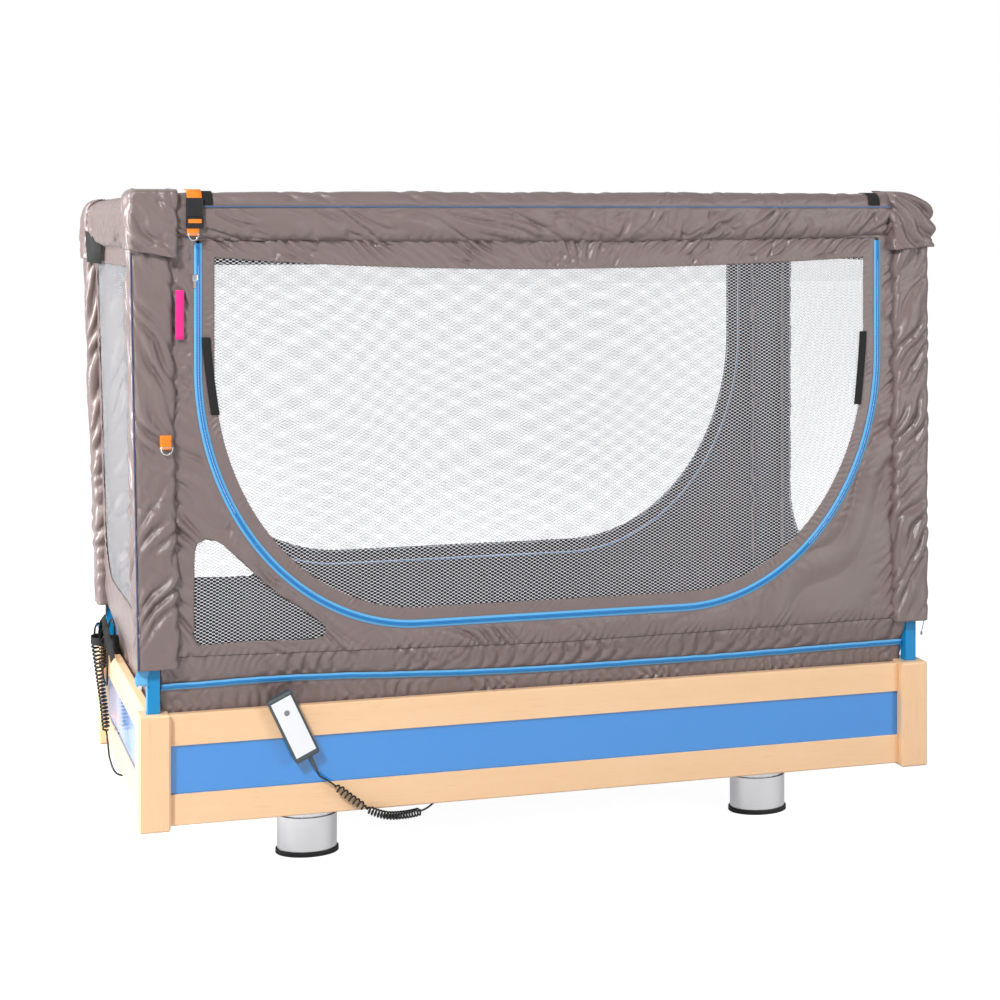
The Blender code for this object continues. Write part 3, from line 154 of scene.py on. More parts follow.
def weave_group():
    """Threads that pass over and under each other, as a height from 0 to 1."""
    group, given, result = new_group(
        "weave", [("Vector", "Vector"), ("Thread", "Float")], [("Height", "Float")])
    turns = math_node(group, "DIVIDE", 2 * math.pi, given.outputs["Thread"])
    parts = node(group, "ShaderNodeSeparateXYZ", {0: given.outputs["Vector"]})
    across = math_node(group, "ADD", parts.outputs["X"], parts.outputs["Y"])
    waves = []
    for value in (across, parts.outputs["Z"]):
        waves.append(math_node(group, "SINE", math_node(group, "MULTIPLY", value, turns)))
    height = math_node(group, "MULTIPLY", math_node(group, "MULTIPLY", waves[0], waves[1]), 0.5)
    group.links.new(math_node(group, "ADD", height, 0.5), result.inputs["Height"])
    return group


def grain_group():
    """Beech: long soft streaks and the short dark flecks of its rays."""
    group, given, result = new_group(
        "beech_grain", [("Vector", "Vector"), ("Stretch", "Vector")],
        [("Streak", "Float"), ("Fleck", "Float")])
    stretched = vector_node(group, "MULTIPLY", given.outputs["Vector"], given.outputs["Stretch"])
    streak = node(group, "ShaderNodeTexNoise", {
        "Vector": stretched, "Scale": 26.0, "Detail": 5.0, "Distortion": 0.6})
    fleck = node(group, "ShaderNodeTexNoise", {
        "Vector": vector_node(group, "MULTIPLY", stretched, (7.0, 7.0, 7.0)), "Scale": 32.0, "Detail": 1.0})
    dark = node(group, "ShaderNodeMapRange", {
        "Value": fleck.outputs["Fac"], "From Min": 0.60, "From Max": 0.72})
    group.links.new(streak.outputs["Fac"], result.inputs["Streak"])
    group.links.new(dark.outputs[0], result.inputs["Fleck"])
    return group


def net_group():
    """Knitted net: oval holes in staggered rows. The mask is 1 on the threads."""
    group, given, result = new_group(
        "net", [("Vector", "Vector"), ("Repeat", "Vector"), ("Hole", "Vector")],
        [("Thread", "Float"), ("Height", "Float")])
    cells = vector_node(group, "DIVIDE", given.outputs["Vector"], given.outputs["Repeat"])
    reach = vector_node(group, "DIVIDE", given.outputs["Repeat"], given.outputs["Hole"])
    distances = []
    for stagger in (0.0, 0.5):
        moved = vector_node(group, "ADD", cells, (stagger, stagger, 0.0))
        centred = vector_node(group, "SUBTRACT", vector_node(group, "FRACTION", moved), (0.5, 0.5, 0.0))
        scaled = vector_node(group, "MULTIPLY", centred, reach)
        length = node(group, "ShaderNodeVectorMath", {0: scaled}, operation="LENGTH")
        distances.append(length.outputs["Value"])
    nearest = math_node(group, "MINIMUM", distances[0], distances[1])
    thread = node(group, "ShaderNodeMapRange", {
        "Value": nearest, "From Min": 0.92, "From Max": 1.08}, interpolation_type="SMOOTHSTEP")
    group.links.new(thread.outputs[0], result.inputs["Thread"])
    group.links.new(nearest, result.inputs["Height"])
    return group


MOTTLE, WEAVE, GRAIN, NET = mottle_group(), weave_group(), grain_group(), net_group()
print("groups:", [group.name for group in (MOTTLE, WEAVE, GRAIN, NET)])

# %% [markdown]
# ## Finishes
# Each finish starts from the same few steps: a Principled shader, the piece's own coordinates,
# a mottled colour between two close tones, and a gloss that varies with the same mottle. Values
# that are the same all over go straight on the shader's sockets.

# %% Finish helper


def group_node(tree, group, **inputs):
    return node(tree, "ShaderNodeGroup", inputs, node_tree=group)


def finish(name, dark, light, gloss, size=0.05, metallic=0.0, bump=0.0, **sockets):
    """A mottled finish: colours, a gloss range, the mottle's size and a fine bump depth."""
    made = bpy.data.materials.new(name)
    made.use_nodes = True
    tree = made.node_tree
    shader = tree.nodes["Principled BSDF"]
    shader.inputs["Metallic"].default_value = metallic
    for socket, value in sockets.items():
        shader.inputs[socket.replace("_", " ")].default_value = value
    place = node(tree, "ShaderNodeTexCoord").outputs["Object"]
    blotches = group_node(tree, MOTTLE, Vector=place, Size=size)
    tone = math_node(tree, "ADD", math_node(tree, "MULTIPLY", blotches.outputs["Fine"], 0.4),
                     math_node(tree, "MULTIPLY", blotches.outputs["Slow"], 0.6))
    tree.links.new(mix_colour(tree, tone, dark, light), shader.inputs["Base Color"])
    tree.links.new(spread(tree, blotches.outputs["Slow"], *gloss), shader.inputs["Roughness"])
    if bump:
        raised = node(tree, "ShaderNodeBump", {
            "Strength": 0.5, "Distance": bump, "Height": blotches.outputs["Fine"]})
        tree.links.new(raised.outputs[0], shader.inputs["Normal"])
    return made


def add_bump(material, height, depth, strength=1.0):
    """Put a height in front of the bump that a finish has already."""
    tree = material.node_tree
    shader = tree.nodes["Principled BSDF"]
    raised = node(tree, "ShaderNodeBump", {"Strength": strength, "Distance": depth, "Height": height})
    if shader.inputs["Normal"].is_linked:
        tree.links.new(shader.inputs["Normal"].links[0].from_socket, raised.inputs["Normal"])
    tree.links.new(raised.outputs[0], shader.inputs["Normal"])


def woven(material, thread, depth):
    """Add a weave to a finish."""
    tree = material.node_tree
    place = node(tree, "ShaderNodeTexCoord").outputs["Object"]
    add_bump(material, group_node(tree, WEAVE, Vector=place, Thread=thread).outputs["Height"], depth)
    return material


def beech(name, stretch):
    """Lacquered beech whose grain runs along one axis."""
    made = finish(name, colour(247, 202, 156), colour(252, 215, 176), (0.34, 0.5), size=0.25,
                  Coat_Weight=0.25, Coat_Roughness=0.25)
    tree = made.node_tree
    shader = tree.nodes["Principled BSDF"]
    place = node(tree, "ShaderNodeTexCoord").outputs["Object"]
    grain = group_node(tree, GRAIN, Vector=place, Stretch=stretch)
    base = shader.inputs["Base Color"].links[0].from_socket
    streaked = mix_colour(tree, spread(tree, grain.outputs["Streak"], 0.0, 0.45), base, colour(238, 186, 134))
    flecked = mix_colour(
        tree, math_node(tree, "MULTIPLY", grain.outputs["Fleck"], 0.16), streaked, colour(214, 152, 100))
    tree.links.new(flecked, shader.inputs["Base Color"])
    add_bump(made, grain.outputs["Streak"], 0.0004, 0.3)
    return made


# %% The finishes
NYLON = woven(finish(
    "taupe_nylon", colour(114, 99, 97), colour(127, 111, 109), (0.25, 0.32), size=0.30,
    Sheen_Weight=0.05, Sheen_Roughness=0.35, Specular_IOR_Level=0.75), 0.0011, 0.00012)
# Painted shade: the dark colour of the strip that stands for the shade in the seam's groove under the door.
SEAM_SHADE = finish("painted_seam_shade", colour(66, 57, 56), colour(80, 70, 69), (0.5, 0.6), size=0.02)
# Black coated lining inside the cloth. On the sleeves it also serves as painted shade of the tent's inside.
LINING_AND_SHADE = woven(finish(
    "black_coated_lining_and_shade", colour(20, 19, 20), colour(28, 27, 28), (0.55, 0.7), size=0.2), 0.0011, 0.0001)
BEECH = {
    "X": beech("beech_along_the_bed", (0.06, 1.0, 1.0)),
    "Y": beech("beech_across_the_bed", (1.0, 0.06, 1.0)),
    "Z": beech("beech_upright", (1.0, 1.0, 0.06))}
PANEL = finish(
    "blue_laminate", colour(8, 130, 216), colour(16, 136, 221), (0.22, 0.30), size=0.4, bump=0.0001,
    Coat_Weight=1.0, Coat_IOR=1.7, Coat_Roughness=0.12)
TUBE_PAINT = finish(
    "blue_powder_coat", colour(0, 132, 196), colour(0, 144, 206), (0.28, 0.36), size=0.1, bump=0.00015)
ALUMINIUM = finish(
    "satin_aluminium", colour(208, 208, 210), colour(224, 224, 226), (0.30, 0.38), metallic=1.0, size=0.05)
STEEL_PAINT = finish(
    "grey_powder_coat", colour(150, 152, 155), colour(165, 167, 170), (0.4, 0.5), bump=0.0002)
RUBBER = finish("black_rubber", colour(26, 26, 27), colour(36, 36, 37), (0.5, 0.62), size=0.03, bump=0.0002)
BLACK_PLASTIC = finish(
    "black_plastic", colour(24, 24, 26), colour(34, 34, 36), (0.38, 0.5), size=0.02, bump=0.0002)
CORD_BLACK = finish("black_cord", colour(20, 20, 22), colour(28, 28, 30), (0.30, 0.4), size=0.02)
HANDSET_GREY = finish(
    "grey_handset", colour(66, 74, 78), colour(80, 89, 93), (0.42, 0.52), size=0.01, bump=0.0002)
WHITE_PLATE = finish("white_plate", colour(236, 238, 241), colour(244, 246, 248), (0.3, 0.38), size=0.05)
GREY_RING = finish("grey_ring", colour(120, 124, 128), colour(140, 144, 148), (0.3, 0.4), size=0.01)
ZIP_TAPE = woven(finish(
    "light_blue_zip_tape", colour(92, 172, 228), colour(110, 186, 236), (0.5, 0.6), size=0.05),
    0.0012, 0.0002)
ZIP_NAVY = woven(finish(
    "navy_zip_tape", colour(30, 40, 72), colour(40, 52, 88), (0.5, 0.6), size=0.05), 0.0012, 0.0002)
ZIP_COIL = finish("blue_zip_coil", colour(28, 118, 188), colour(44, 134, 204), (0.35, 0.45), size=0.02)
ZIP_GREY = finish("grey_blue_zip", colour(70, 94, 132), colour(84, 108, 146), (0.45, 0.55), size=0.02)
ORANGE_WEB = woven(finish(
    "orange_webbing", colour(244, 126, 16), colour(255, 146, 40), (0.55, 0.68), size=0.02), 0.0024, 0.0004)
PINK_TAB = woven(finish(
    "pink_ribbon", colour(240, 26, 132), colour(250, 44, 146), (0.5, 0.6), size=0.02), 0.001, 0.0002)
# Black hook-and-loop, which also colours the black sheet of painted shade under the far head corner.
HOOK_LOOP_AND_SHADE = finish(
    "black_hook_and_loop_and_shade", colour(18, 18, 19), colour(34, 33, 34), (0.8, 0.92), size=0.006, bump=0.0012)
CHROME = finish(
    "plated_steel", colour(205, 206, 210), colour(225, 226, 230), (0.12, 0.2), metallic=1.0, size=0.02)
print(len(bpy.data.materials), "materials with the packed ones")

# %% [markdown]
# ## Net
# The windows are a white knitted net with oval holes in staggered rows. Modelling each thread
# would take millions of faces, so a thin sheet carries the pattern in its alpha. The pattern lies
# in metres on the sheet, so its holes keep their real size on every window.

# %% Net finish
NET_REPEAT = (0.0155, 0.0086, 1.0)     # between holes along a row, and between like rows
NET_HOLE = (0.0047, 0.0032, 1.0)       # half width and half height of a hole
NET_SLACK = (0.024, 0.016, 0.0)        # how far slack shifts the holes, over stretches of about 0.3 m


def net_finish(name, across):
    """White net whose rows run along X or Y."""
    made = finish(name, colour(222, 223, 229), colour(232, 233, 238), (0.5, 0.6), size=0.1, Sheen_Weight=0.2)
    tree = made.node_tree
    shader = tree.nodes["Principled BSDF"]
    place = node(tree, "ShaderNodeTexCoord").outputs["Object"]
    parts = node(tree, "ShaderNodeSeparateXYZ", {0: place})
    flat = node(tree, "ShaderNodeCombineXYZ", {"X": parts.outputs[across], "Y": parts.outputs["Z"]})
    slack = node(tree, "ShaderNodeTexNoise", {"Vector": place, "Scale": 3.0, "Detail": 0.0})
    centred = vector_node(tree, "SUBTRACT", slack.outputs["Color"], (0.5, 0.5, 0.5))
    shift = vector_node(tree, "MULTIPLY", centred, NET_SLACK)
    place = vector_node(tree, "ADD", flat.outputs[0], shift)
    net = group_node(tree, NET, Vector=place, Repeat=NET_REPEAT, Hole=NET_HOLE)
    tree.links.new(net.outputs["Thread"], shader.inputs["Alpha"])
    add_bump(made, net.outputs["Height"], 0.0012, 0.6)
    return made


NET_LONG, NET_END = net_finish("white_net_long_sides", "X"), net_finish("white_net_ends", "Y")
print("net repeats every", NET_REPEAT[:2], "m")

# %% [markdown]
# ## Cloth by formula
# Sewn nylon shows where it is sewn: the thread draws the seam up, and short folds stand square to
# it and fade within a few centimetres. Longer creases cross the free cloth at a slant. The folds
# come from formulas here, without a cloth simulation: rows of rounded ridges whose spacing drifts
# with smooth noise, with a strength that falls off with the distance to the seam. They are real
# geometry, some millimetres deep.

# %% Fold formulas


def noise(u, v, seed):
    """Smooth noise from about -1 to 1: random slopes on a grid, blended between its corners."""
    slopes = np.random.default_rng(seed).normal(size=(64, 64, 2))
    slopes /= np.linalg.norm(slopes, axis=2, keepdims=True)
    column, row = np.floor(u).astype(int), np.floor(v).astype(int)
    right, up = u - column, v - row
    blend = [share ** 3 * (share * (share * 6 - 15) + 10) for share in (right, up)]
    total = np.zeros(np.broadcast(u, v).shape)
    for i in (0, 1):
        for j in (0, 1):
            slope = slopes[(column + i) % 64, (row + j) % 64]
            weight = (blend[0] if i else 1 - blend[0]) * (blend[1] if j else 1 - blend[1])
            total += weight * (slope[..., 0] * (right - i) + slope[..., 1] * (up - j))
    return 1.5 * total


def ridges(phase):
    """Rounded backs with narrow valleys between them, one to each whole number, from -1 to 1."""
    return 2 * np.abs(np.sin(np.pi * phase)) - 1


def puckers(along, away, pitch, reach, depth, seed, slant=0.0):
    """Short folds at a seam, fading with the distance from it."""
    drift = 0.7 * noise(along / (3.5 * pitch), away / (2 * reach), seed)
    strength = np.clip(0.7 + 1.0 * noise(along / (4 * pitch), away / (3 * reach), seed + 1), 0.1, 1.3)
    fade = np.exp(-((away / reach) ** 1.5))
    return depth * strength * fade * ridges((along + slant * away) / pitch + drift)


def creases(u, v, angle, length, width, depth, seed):
    """Long thin valleys at an angle in degrees, which come and go."""
    c, s = math.cos(math.radians(angle)), math.sin(math.radians(angle))
    along, across = u * c + v * s, v * c - u * s
    bent = across + 1.2 * width * noise(along / length, across / (5 * width), seed)
    field = noise(along / length, bent / (2.2 * width), seed + 1)
    valley = np.clip(1 - np.abs(field) / 0.22, 0.0, 1.0) ** 1.5
    shown = np.clip(0.55 + 1.6 * noise(along / (1.3 * length), across / (4 * width), seed + 2), 0.0, 1.0)
    return -depth * valley * shown


def drapes(u, v, angle, width, length, depth, seed):
    """Long folds that run at an angle, with rounded backs and narrow valleys."""
    c, s = math.cos(math.radians(angle)), math.sin(math.radians(angle))
    along, across = u * c + v * s, v * c - u * s
    drift = 0.9 * noise(along / length, across / (2.5 * width), seed)
    strength = np.clip(0.6 + 1.2 * noise(along / length, across / (1.8 * width), seed + 1), 0.05, 1.2)
    return depth * strength * ridges(across / width + drift)


def billow(u, v, size, depth, seed):
    """Slow swells of slack cloth."""
    return depth * noise(u / size, v / size, seed)


print("noise from", round(float(noise(np.arange(9.0) / 3, np.arange(9.0) / 5, 1).min()), 2))

# %% [markdown]
# ## Cutting cloth
# A wall is a flat cut with a hole for the door, so it is made as a tailor would: draw the outline,
# cut the holes, and fill what is left with even triangles. Blender's constrained triangulation
# keeps the cut edges. Each point then moves out of the plane by the folds, and a Solidify
# modifier gives the cloth its thickness and a dark lining inside.

# %% Cloth helpers
CLOTH = 0.0012
EDGE_STEP = 0.004             # between the points of an edge that folds follow


def resample(line, step, closed=True):
    """Evenly spaced points along straight stretches, with the corners kept."""
    points = []
    ends = line[1:] + line[:1] if closed else line[1:]
    for start, end in zip(line, ends):
        start, end = np.array(start, float), np.array(end, float)
        count = max(1, round(np.linalg.norm(end - start) / step))
        points += [start + (end - start) * index / count for index in range(count)]
    if not closed:
        points.append(np.array(line[-1], float))
    return np.array(points)


def running_length(line):
    """Length along a line, up to each of its points."""
    return np.concatenate([[0.0], np.cumsum(np.linalg.norm(np.diff(line, axis=0), axis=1))])


def nearest(points, line):
    """Running length of the nearest point of a line, and the distance to it."""
    tree = KDTree(len(line))
    for index, place in enumerate(line):
        tree.insert((*place, 0.0), index)
    tree.balance()
    lengths = running_length(line)
    found = [tree.find((*point, 0.0))[1:] for point in points]
    return lengths[[index for index, _ in found]], np.array([distance for _, distance in found])


def inside(points, loop):
    """Which points lie inside a closed outline."""
    x, y = points[:, 0], points[:, 1]
    result = np.zeros(len(points), bool)
    for (x0, y0), (x1, y1) in zip(loop, np.roll(loop, -1, axis=0)):
        rise = y1 - y0 if y1 != y0 else 1.0
        result ^= ((y0 > y) != (y1 > y)) & (x < x0 + (y - y0) * (x1 - x0) / rise)
    return result


def cut_cloth(outer, holes, pitch):
    """Flat points and triangles over an outline with holes."""
    loops = [resample(loop, pitch) for loop in (outer, *holes)]
    low, high = loops[0].min(0), loops[0].max(0)
    grid = np.array([
        (x + (row % 2) * pitch / 2, y)
        for row, y in enumerate(np.arange(low[1], high[1], pitch * 0.866))
        for x in np.arange(low[0], high[0], pitch)])
    keep = inside(grid, loops[0]) & (nearest(grid, np.concatenate(loops))[1] > pitch * 0.6)
    for loop in loops[1:]:
        keep &= ~inside(grid, loop)
    edges, start = [], 0
    for loop in loops:
        edges += [(start + i, start + (i + 1) % len(loop)) for i in range(len(loop))]
        start += len(loop)
    given = [Vector(point) for point in np.concatenate([*loops, grid[keep]])]
    flat, _, triangles, *_ = delaunay_2d_cdt(given, edges, [], 0, 1e-7)
    flat = np.array(flat)
    triangles = np.array(triangles)
    middles = flat[triangles].mean(axis=1)
    wanted = inside(middles, loops[0])
    for loop in loops[1:]:
        wanted &= ~inside(middles, loop)
    return flat, triangles[wanted]


def add_piece(name, points, faces, finishes, body="bed", replaces=()):
    """A smooth mesh that rides on a body."""
    mesh = bpy.data.meshes.new(name)
    mesh.from_pydata([tuple(map(float, point)) for point in points], [], [tuple(map(int, f)) for f in faces])
    for material in finishes:
        mesh.materials.append(material)
    mesh.shade_smooth()
    made = bpy.data.objects.new(name, mesh)
    bpy.context.scene.collection.objects.link(made)
    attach(made, body)
    if replaces:
        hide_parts(*replaces)
    return made


def thicken(piece, thickness=CLOTH, lining=True):
    """Cloth thickness towards the inside, with the second finish as its lining."""
    solid = piece.modifiers.new("thickness", "SOLIDIFY")
    solid.thickness = thickness
    solid.offset = -1.0
    solid.material_offset = 1 if lining else 0
    return piece


def area_of(piece):
    return sum(polygon.area for polygon in piece.data.polygons)


def declare_cloth(piece, width):
    """Print a cloth piece's face count and size. Its length is the finished mesh's own area over a width, not
    a set size.
    """
    faces = len(piece.data.polygons)
    print(f"{piece.name}: {faces} faces, {width:.2f} by {area_of(piece) / width:.2f} m")


def grid_faces(rows, columns, closed):
    """Faces of a grid of points, whose rows may close on themselves."""
    faces = []
    for row in range(rows - 1):
        for column in range(columns if closed else columns - 1):
            after = (column + 1) % columns
            faces.append((row * columns + column, row * columns + after,
                          (row + 1) * columns + after, (row + 1) * columns + column))
    return faces


# %% [markdown]
# ## Light
# The photograph is a cut-out on pure white with light from the front left. So the world is white
# to the camera, half white in reflections, and gives a weak light from all round. A small lamp at
# the front left models the folds, a large one lights the head end, and a weak one fills in from the
# right. The floor is pale. It glows for the same rays, so that it is white as in the photograph and
# only its deepest shadow shows.

# %% Light
WHITE = (1.0, 1.0, 1.0, 1.0)
ROOM_LIGHT = 0.20
GLOSS_WHITE = 0.55            # how white the surroundings are in reflections


def whiteness(tree):
    """1 for rays from the camera and through glass, less for reflected rays, 0 for the rest."""
    seen = node(tree, "ShaderNodeLightPath").outputs
    straight = math_node(tree, "MAXIMUM", seen["Is Camera Ray"], seen["Is Transmission Ray"])
    mirrored = math_node(tree, "MULTIPLY", seen["Is Glossy Ray"], GLOSS_WHITE)
    return math_node(tree, "MAXIMUM", straight, mirrored)


world = bpy.data.worlds.new("white_studio")
world.use_nodes = True
bpy.context.scene.world = world
tree = world.node_tree
strength = math_node(tree, "MAXIMUM", whiteness(tree), ROOM_LIGHT)
tree.nodes["Background"].inputs["Color"].default_value = WHITE
tree.links.new(strength, tree.nodes["Background"].inputs["Strength"])


def area_lamp(name, place, target, size, power):
    """A square soft box that faces a target."""
    lamp = bpy.data.objects.new(name, bpy.data.lights.new(name, "AREA"))
    lamp.data.size = size
    lamp.data.energy = power
    lamp.location = place
    lamp.rotation_euler = (Vector(target) - Vector(place)).to_track_quat("-Z", "Y").to_euler()
    bpy.context.scene.collection.objects.link(lamp)
    return lamp


area_lamp("key", (-4.1, -4.6, 5.0), (0.0, 0.0, 0.9), 1.0, 400.0)
area_lamp("head_end", (-5.6, 0.6, 2.4), (-1.1, 0.0, 1.0), 2.4, 430.0)
area_lamp("fill", (3.8, -4.8, 2.2), (0.0, 0.0, 0.9), 2.0, 100.0)
FLOOR_REACH, FLOOR_Z = 40.0, -0.0005
FLOOR_GREY, FLOOR_ROUGHNESS, FLOOR_GLOW = (0.5, 0.5, 0.5, 1.0), 0.9, 0.93

pale = bpy.data.materials.new("pale_floor")
pale.use_nodes = True
tree = pale.node_tree
glow = math_node(tree, "MULTIPLY", whiteness(tree), FLOOR_GLOW)
for label, value in (("Base Color", FLOOR_GREY), ("Roughness", FLOOR_ROUGHNESS),
                     ("Emission Color", WHITE), ("Emission Strength", glow)):
    feed(tree, tree.nodes["Principled BSDF"].inputs[label], value)
floor_mesh = bpy.data.meshes.new("floor")
corners = [(x * FLOOR_REACH, y * FLOOR_REACH, FLOOR_Z) for x, y in ((-1, -1), (1, -1), (1, 1), (-1, 1))]
floor_mesh.from_pydata(corners, [], [(0, 1, 2, 3)])
floor_mesh.materials.append(pale)
floor = bpy.data.objects.new("floor", floor_mesh)
bpy.context.scene.collection.objects.link(floor)

# %% [markdown]
# ## Curly leads
# A curly lead is wound on a rod and set by heat, so it is a helix whose middle line follows the
# route. Each route is a smooth curve through a few points, and two directions are carried along it
# without twist. The curls grow in over one turn at each end. The routes repeat the ones of the
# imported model, with more points to a curl.

# %% Lead helpers
CURL_RADIUS = 0.009
CURL_POINTS = 20
ROUTE_SAMPLES = 24
STRAIGHT_STEP = 0.008


def smooth_path(route):
    """A smooth curve through a route's points, densely sampled."""
    ends = [2 * route[0] - route[1], *route, 2 * route[-1] - route[-2]]
    t = np.arange(ROUTE_SAMPLES)[:, None] / ROUTE_SAMPLES
    path = []
    for before, start, end, after in zip(ends, ends[1:], ends[2:], ends[3:]):
        path.append(0.5 * (
            2 * start + (end - before) * t + (2 * before - 5 * start + 4 * end - after) * t ** 2
            + (3 * start - before - 3 * end + after) * t ** 3))
    return np.vstack([*path, route[-1:]])


def unit(vectors):
    return vectors / np.linalg.norm(vectors, axis=-1, keepdims=True)


def across_path(path):
    """Two directions across a path, carried along it without twist."""
    ahead = unit(np.gradient(path, axis=0))
    across = [np.array(Vector(ahead[0]).orthogonal().normalized())]
    for direction in ahead:
        across.append(unit(across[-1] - direction * across[-1].dot(direction)))
    across = np.array(across[1:])
    return across, np.cross(ahead, across)


def curly_line(route, curls):
    """Points along a route, wound into curls between pairs of its points."""
    path = smooth_path(np.array(route, float))
    lengths = running_length(path)
    across, over = across_path(path)
    runs, radii, angles, done = [], [], [], 0.0
    for first, last, count in [*curls, (len(route) - 1, len(route) - 1, 0)]:
        start, end = lengths[first * ROUTE_SAMPLES], lengths[last * ROUTE_SAMPLES]
        straight = np.linspace(done, start, max(2, round((start - done) / STRAIGHT_STEP)), endpoint=not count)
        steps = np.arange(count * CURL_POINTS)
        turns = np.minimum(steps, count * CURL_POINTS - steps) / CURL_POINTS
        runs += [straight, start + (end - start) * steps / max(1, count * CURL_POINTS)]
        radii += [np.zeros(len(straight)), CURL_RADIUS * np.minimum(1.0, turns)]
        angles += [np.zeros(len(straight)), 2 * math.pi * steps / CURL_POINTS]
        done = end
    runs, radii, angles = np.concatenate(runs), np.concatenate(radii), np.concatenate(angles)
    high = np.searchsorted(lengths, runs).clip(1, len(lengths) - 1)
    places = np.array([np.interp(runs, lengths, path[:, axis]) for axis in range(3)]).T
    swing = np.cos(angles)[:, None] * across[high] + np.sin(angles)[:, None] * over[high]
    return places + radii[:, None] * swing


def wire(name, line, radius, material, body="bed", closed=False, caps=False):
    """A lead, thin cord or bent wire: one round tube along a line."""
    curve = bpy.data.curves.new(name, "CURVE")
    curve.dimensions = "3D"
    curve.bevel_depth = radius
    curve.bevel_resolution = 3
    curve.use_fill_caps = caps
    curve.materials.append(material)
    spline = curve.splines.new("POLY")
    spline.points.add(len(line) - 1)
    for point, place in zip(spline.points, line):
        point.co = (*place, 1.0)
    spline.use_cyclic_u = closed
    made = bpy.data.objects.new(name, curve)
    bpy.context.scene.collection.objects.link(made)
    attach(made, body)
    return made


def add_lead(name, node_name, route, diameter, curls, **facts):
    """A curly lead along its route, in place of the imported cord."""
    line = curly_line(route, curls)
    lead = wire(name, line, diameter / 2, CORD_BLACK, caps=True)
    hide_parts(node_name)


# %% The two leads
HANDSET_TILT = math.radians(-25.3)
RELIEF_TIP = Vector((-0.64666, -0.4873, 0.27172))
relief_out = Vector((-math.sin(HANDSET_TILT), 0.0, -math.cos(HANDSET_TILT)))
handset_route = [
    RELIEF_TIP + relief_out * 0.0003, RELIEF_TIP + relief_out * 0.016, (-0.622, -0.4885, 0.246),
    (-0.599, -0.4890, 0.229), (-0.560, -0.4890, 0.196), (-0.515, -0.4890, 0.163),
    (-0.466, -0.4880, 0.1415), (-0.412, -0.4760, 0.1345), (-0.362, -0.4560, 0.1345),
    (-0.322, -0.4280, 0.143), (-0.262, -0.3950, 0.180), (-0.200, -0.3680, 0.235),
    (-0.140, -0.3480, 0.285), (-0.105, -0.3280, 0.303), (-0.100, -0.3140, 0.305),
    (-0.100, -0.3003, 0.305)]
mains_route = [
    (-0.1503, -0.200, 0.310), (-0.1663, -0.200, 0.310), (-0.240, -0.190, 0.300),
    (-0.400, -0.140, 0.262), (-0.600, -0.030, 0.215), (-0.800, 0.060, 0.172),
    (-0.960, 0.100, 0.142), (-1.040, 0.110, 0.134), (-1.083, 0.120, 0.140),
    (-1.098, 0.150, 0.170), (-1.099, 0.195, 0.202), (-1.100, 0.225, 0.232),
    (-1.102, 0.285, 0.300), (-1.108, 0.345, 0.375), (-1.1165, 0.386, 0.455),
    (-1.1160, 0.390, 0.480), (-1.1135, 0.391, 0.4985), (-1.1035, 0.393, 0.5080),
    (-1.0935, 0.395, 0.4985), (-1.0915, 0.397, 0.480), (-1.0915, 0.398, 0.465),
    (-1.0915, 0.398, 0.372), (-1.0905, 0.395, 0.350), (-1.0870, 0.385, 0.335),
    (-1.0845, 0.370, 0.331), (-1.0840, 0.356, 0.340), (-1.0838, 0.349, 0.365),
    (-1.0838, 0.347, 0.430), (-1.0830, 0.345, 0.490), (-1.0790, 0.336, 0.520),
    (-1.0735, 0.321, 0.530), (-1.0700, 0.306, 0.520), (-1.0690, 0.3005, 0.505),
    (-1.0690, 0.300, 0.4896)]
add_lead("handset_lead", "handset_cord", handset_route, 0.005, [(3, 5, 8), (5, 8, 19)],
         far_end="object", stiffness="medium", lay="hanging")
add_lead("mains_lead", "mains_cord", mains_route, 0.006, [(11, 14, 24), (20, 21, 10)],
         far_end="plug", stiffness="medium", lay="hanging", with_pieces=[nodes["mains_plug"]])

# %% [markdown]
# ## Lines on the long walls
# The zip of the big door is the leading line of each long side. It runs down straight and turns
# under in two oval corners. The window's edge and the wall's hole follow it at set distances, so
# they are the same line, moved in or out. A low vent fills the corner under the front door's left
# curve, and the rear wall has one like it.

# %% Outlines of the long sides
SIDES = (("front", -1), ("rear", 1))
ENDS = (("head", -1), ("foot", 1))
CLOTH_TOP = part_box("wall_front")[1].z
WALL_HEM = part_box("wall_front")[0].z
WALL_Y, END_X = 0.478, 1.080
TUCK_Y, END_TUCK_X = 0.439, 1.044
WALL_BEND, BAND_TUCK = 0.600, 0.445
DOOR_HALF = 0.950
DOOR_FOOT = 0.630
DOOR_CORNER = (0.580, 0.680)
WINDOW_BORDER = 0.042
NET_LAP, NET_DEPTH = 0.006, 0.0025     # net past its window's edge, and behind the cloth
WINDOW_TOP = {-1: CLOTH_TOP - 0.079, 1: CLOTH_TOP - 0.087}
WINDOW_RISE = {-1: (0.036, 0.026), 1: (0.0, 0.0)}     # top edge above its middle, at the left and the right
SLEEVE_INNER = 0.998
WALL_HALF = 1.041             # into the sleeves, up to the tent legs
HEADER = 0.014                # cloth above the door's seam, behind the padded edge


def door_line(inset=0.0, top=None, steps=36):
    """The door's zip line from top left, round the bottom, to top right."""
    top = CLOTH_TOP if top is None else top
    width, rise = DOOR_CORNER[0] - inset, DOOR_CORNER[1] - inset
    foot, half = DOOR_FOOT + inset, DOOR_HALF - inset
    points = [(-half, top)]
    for step in range(steps + 1):
        angle = math.pi / 2 * step / steps
        points.append((-half + width * (1 - math.cos(angle)), foot + rise * (1 - math.sin(angle))))
    return points + [(-x, z) for x, z in reversed(points)]


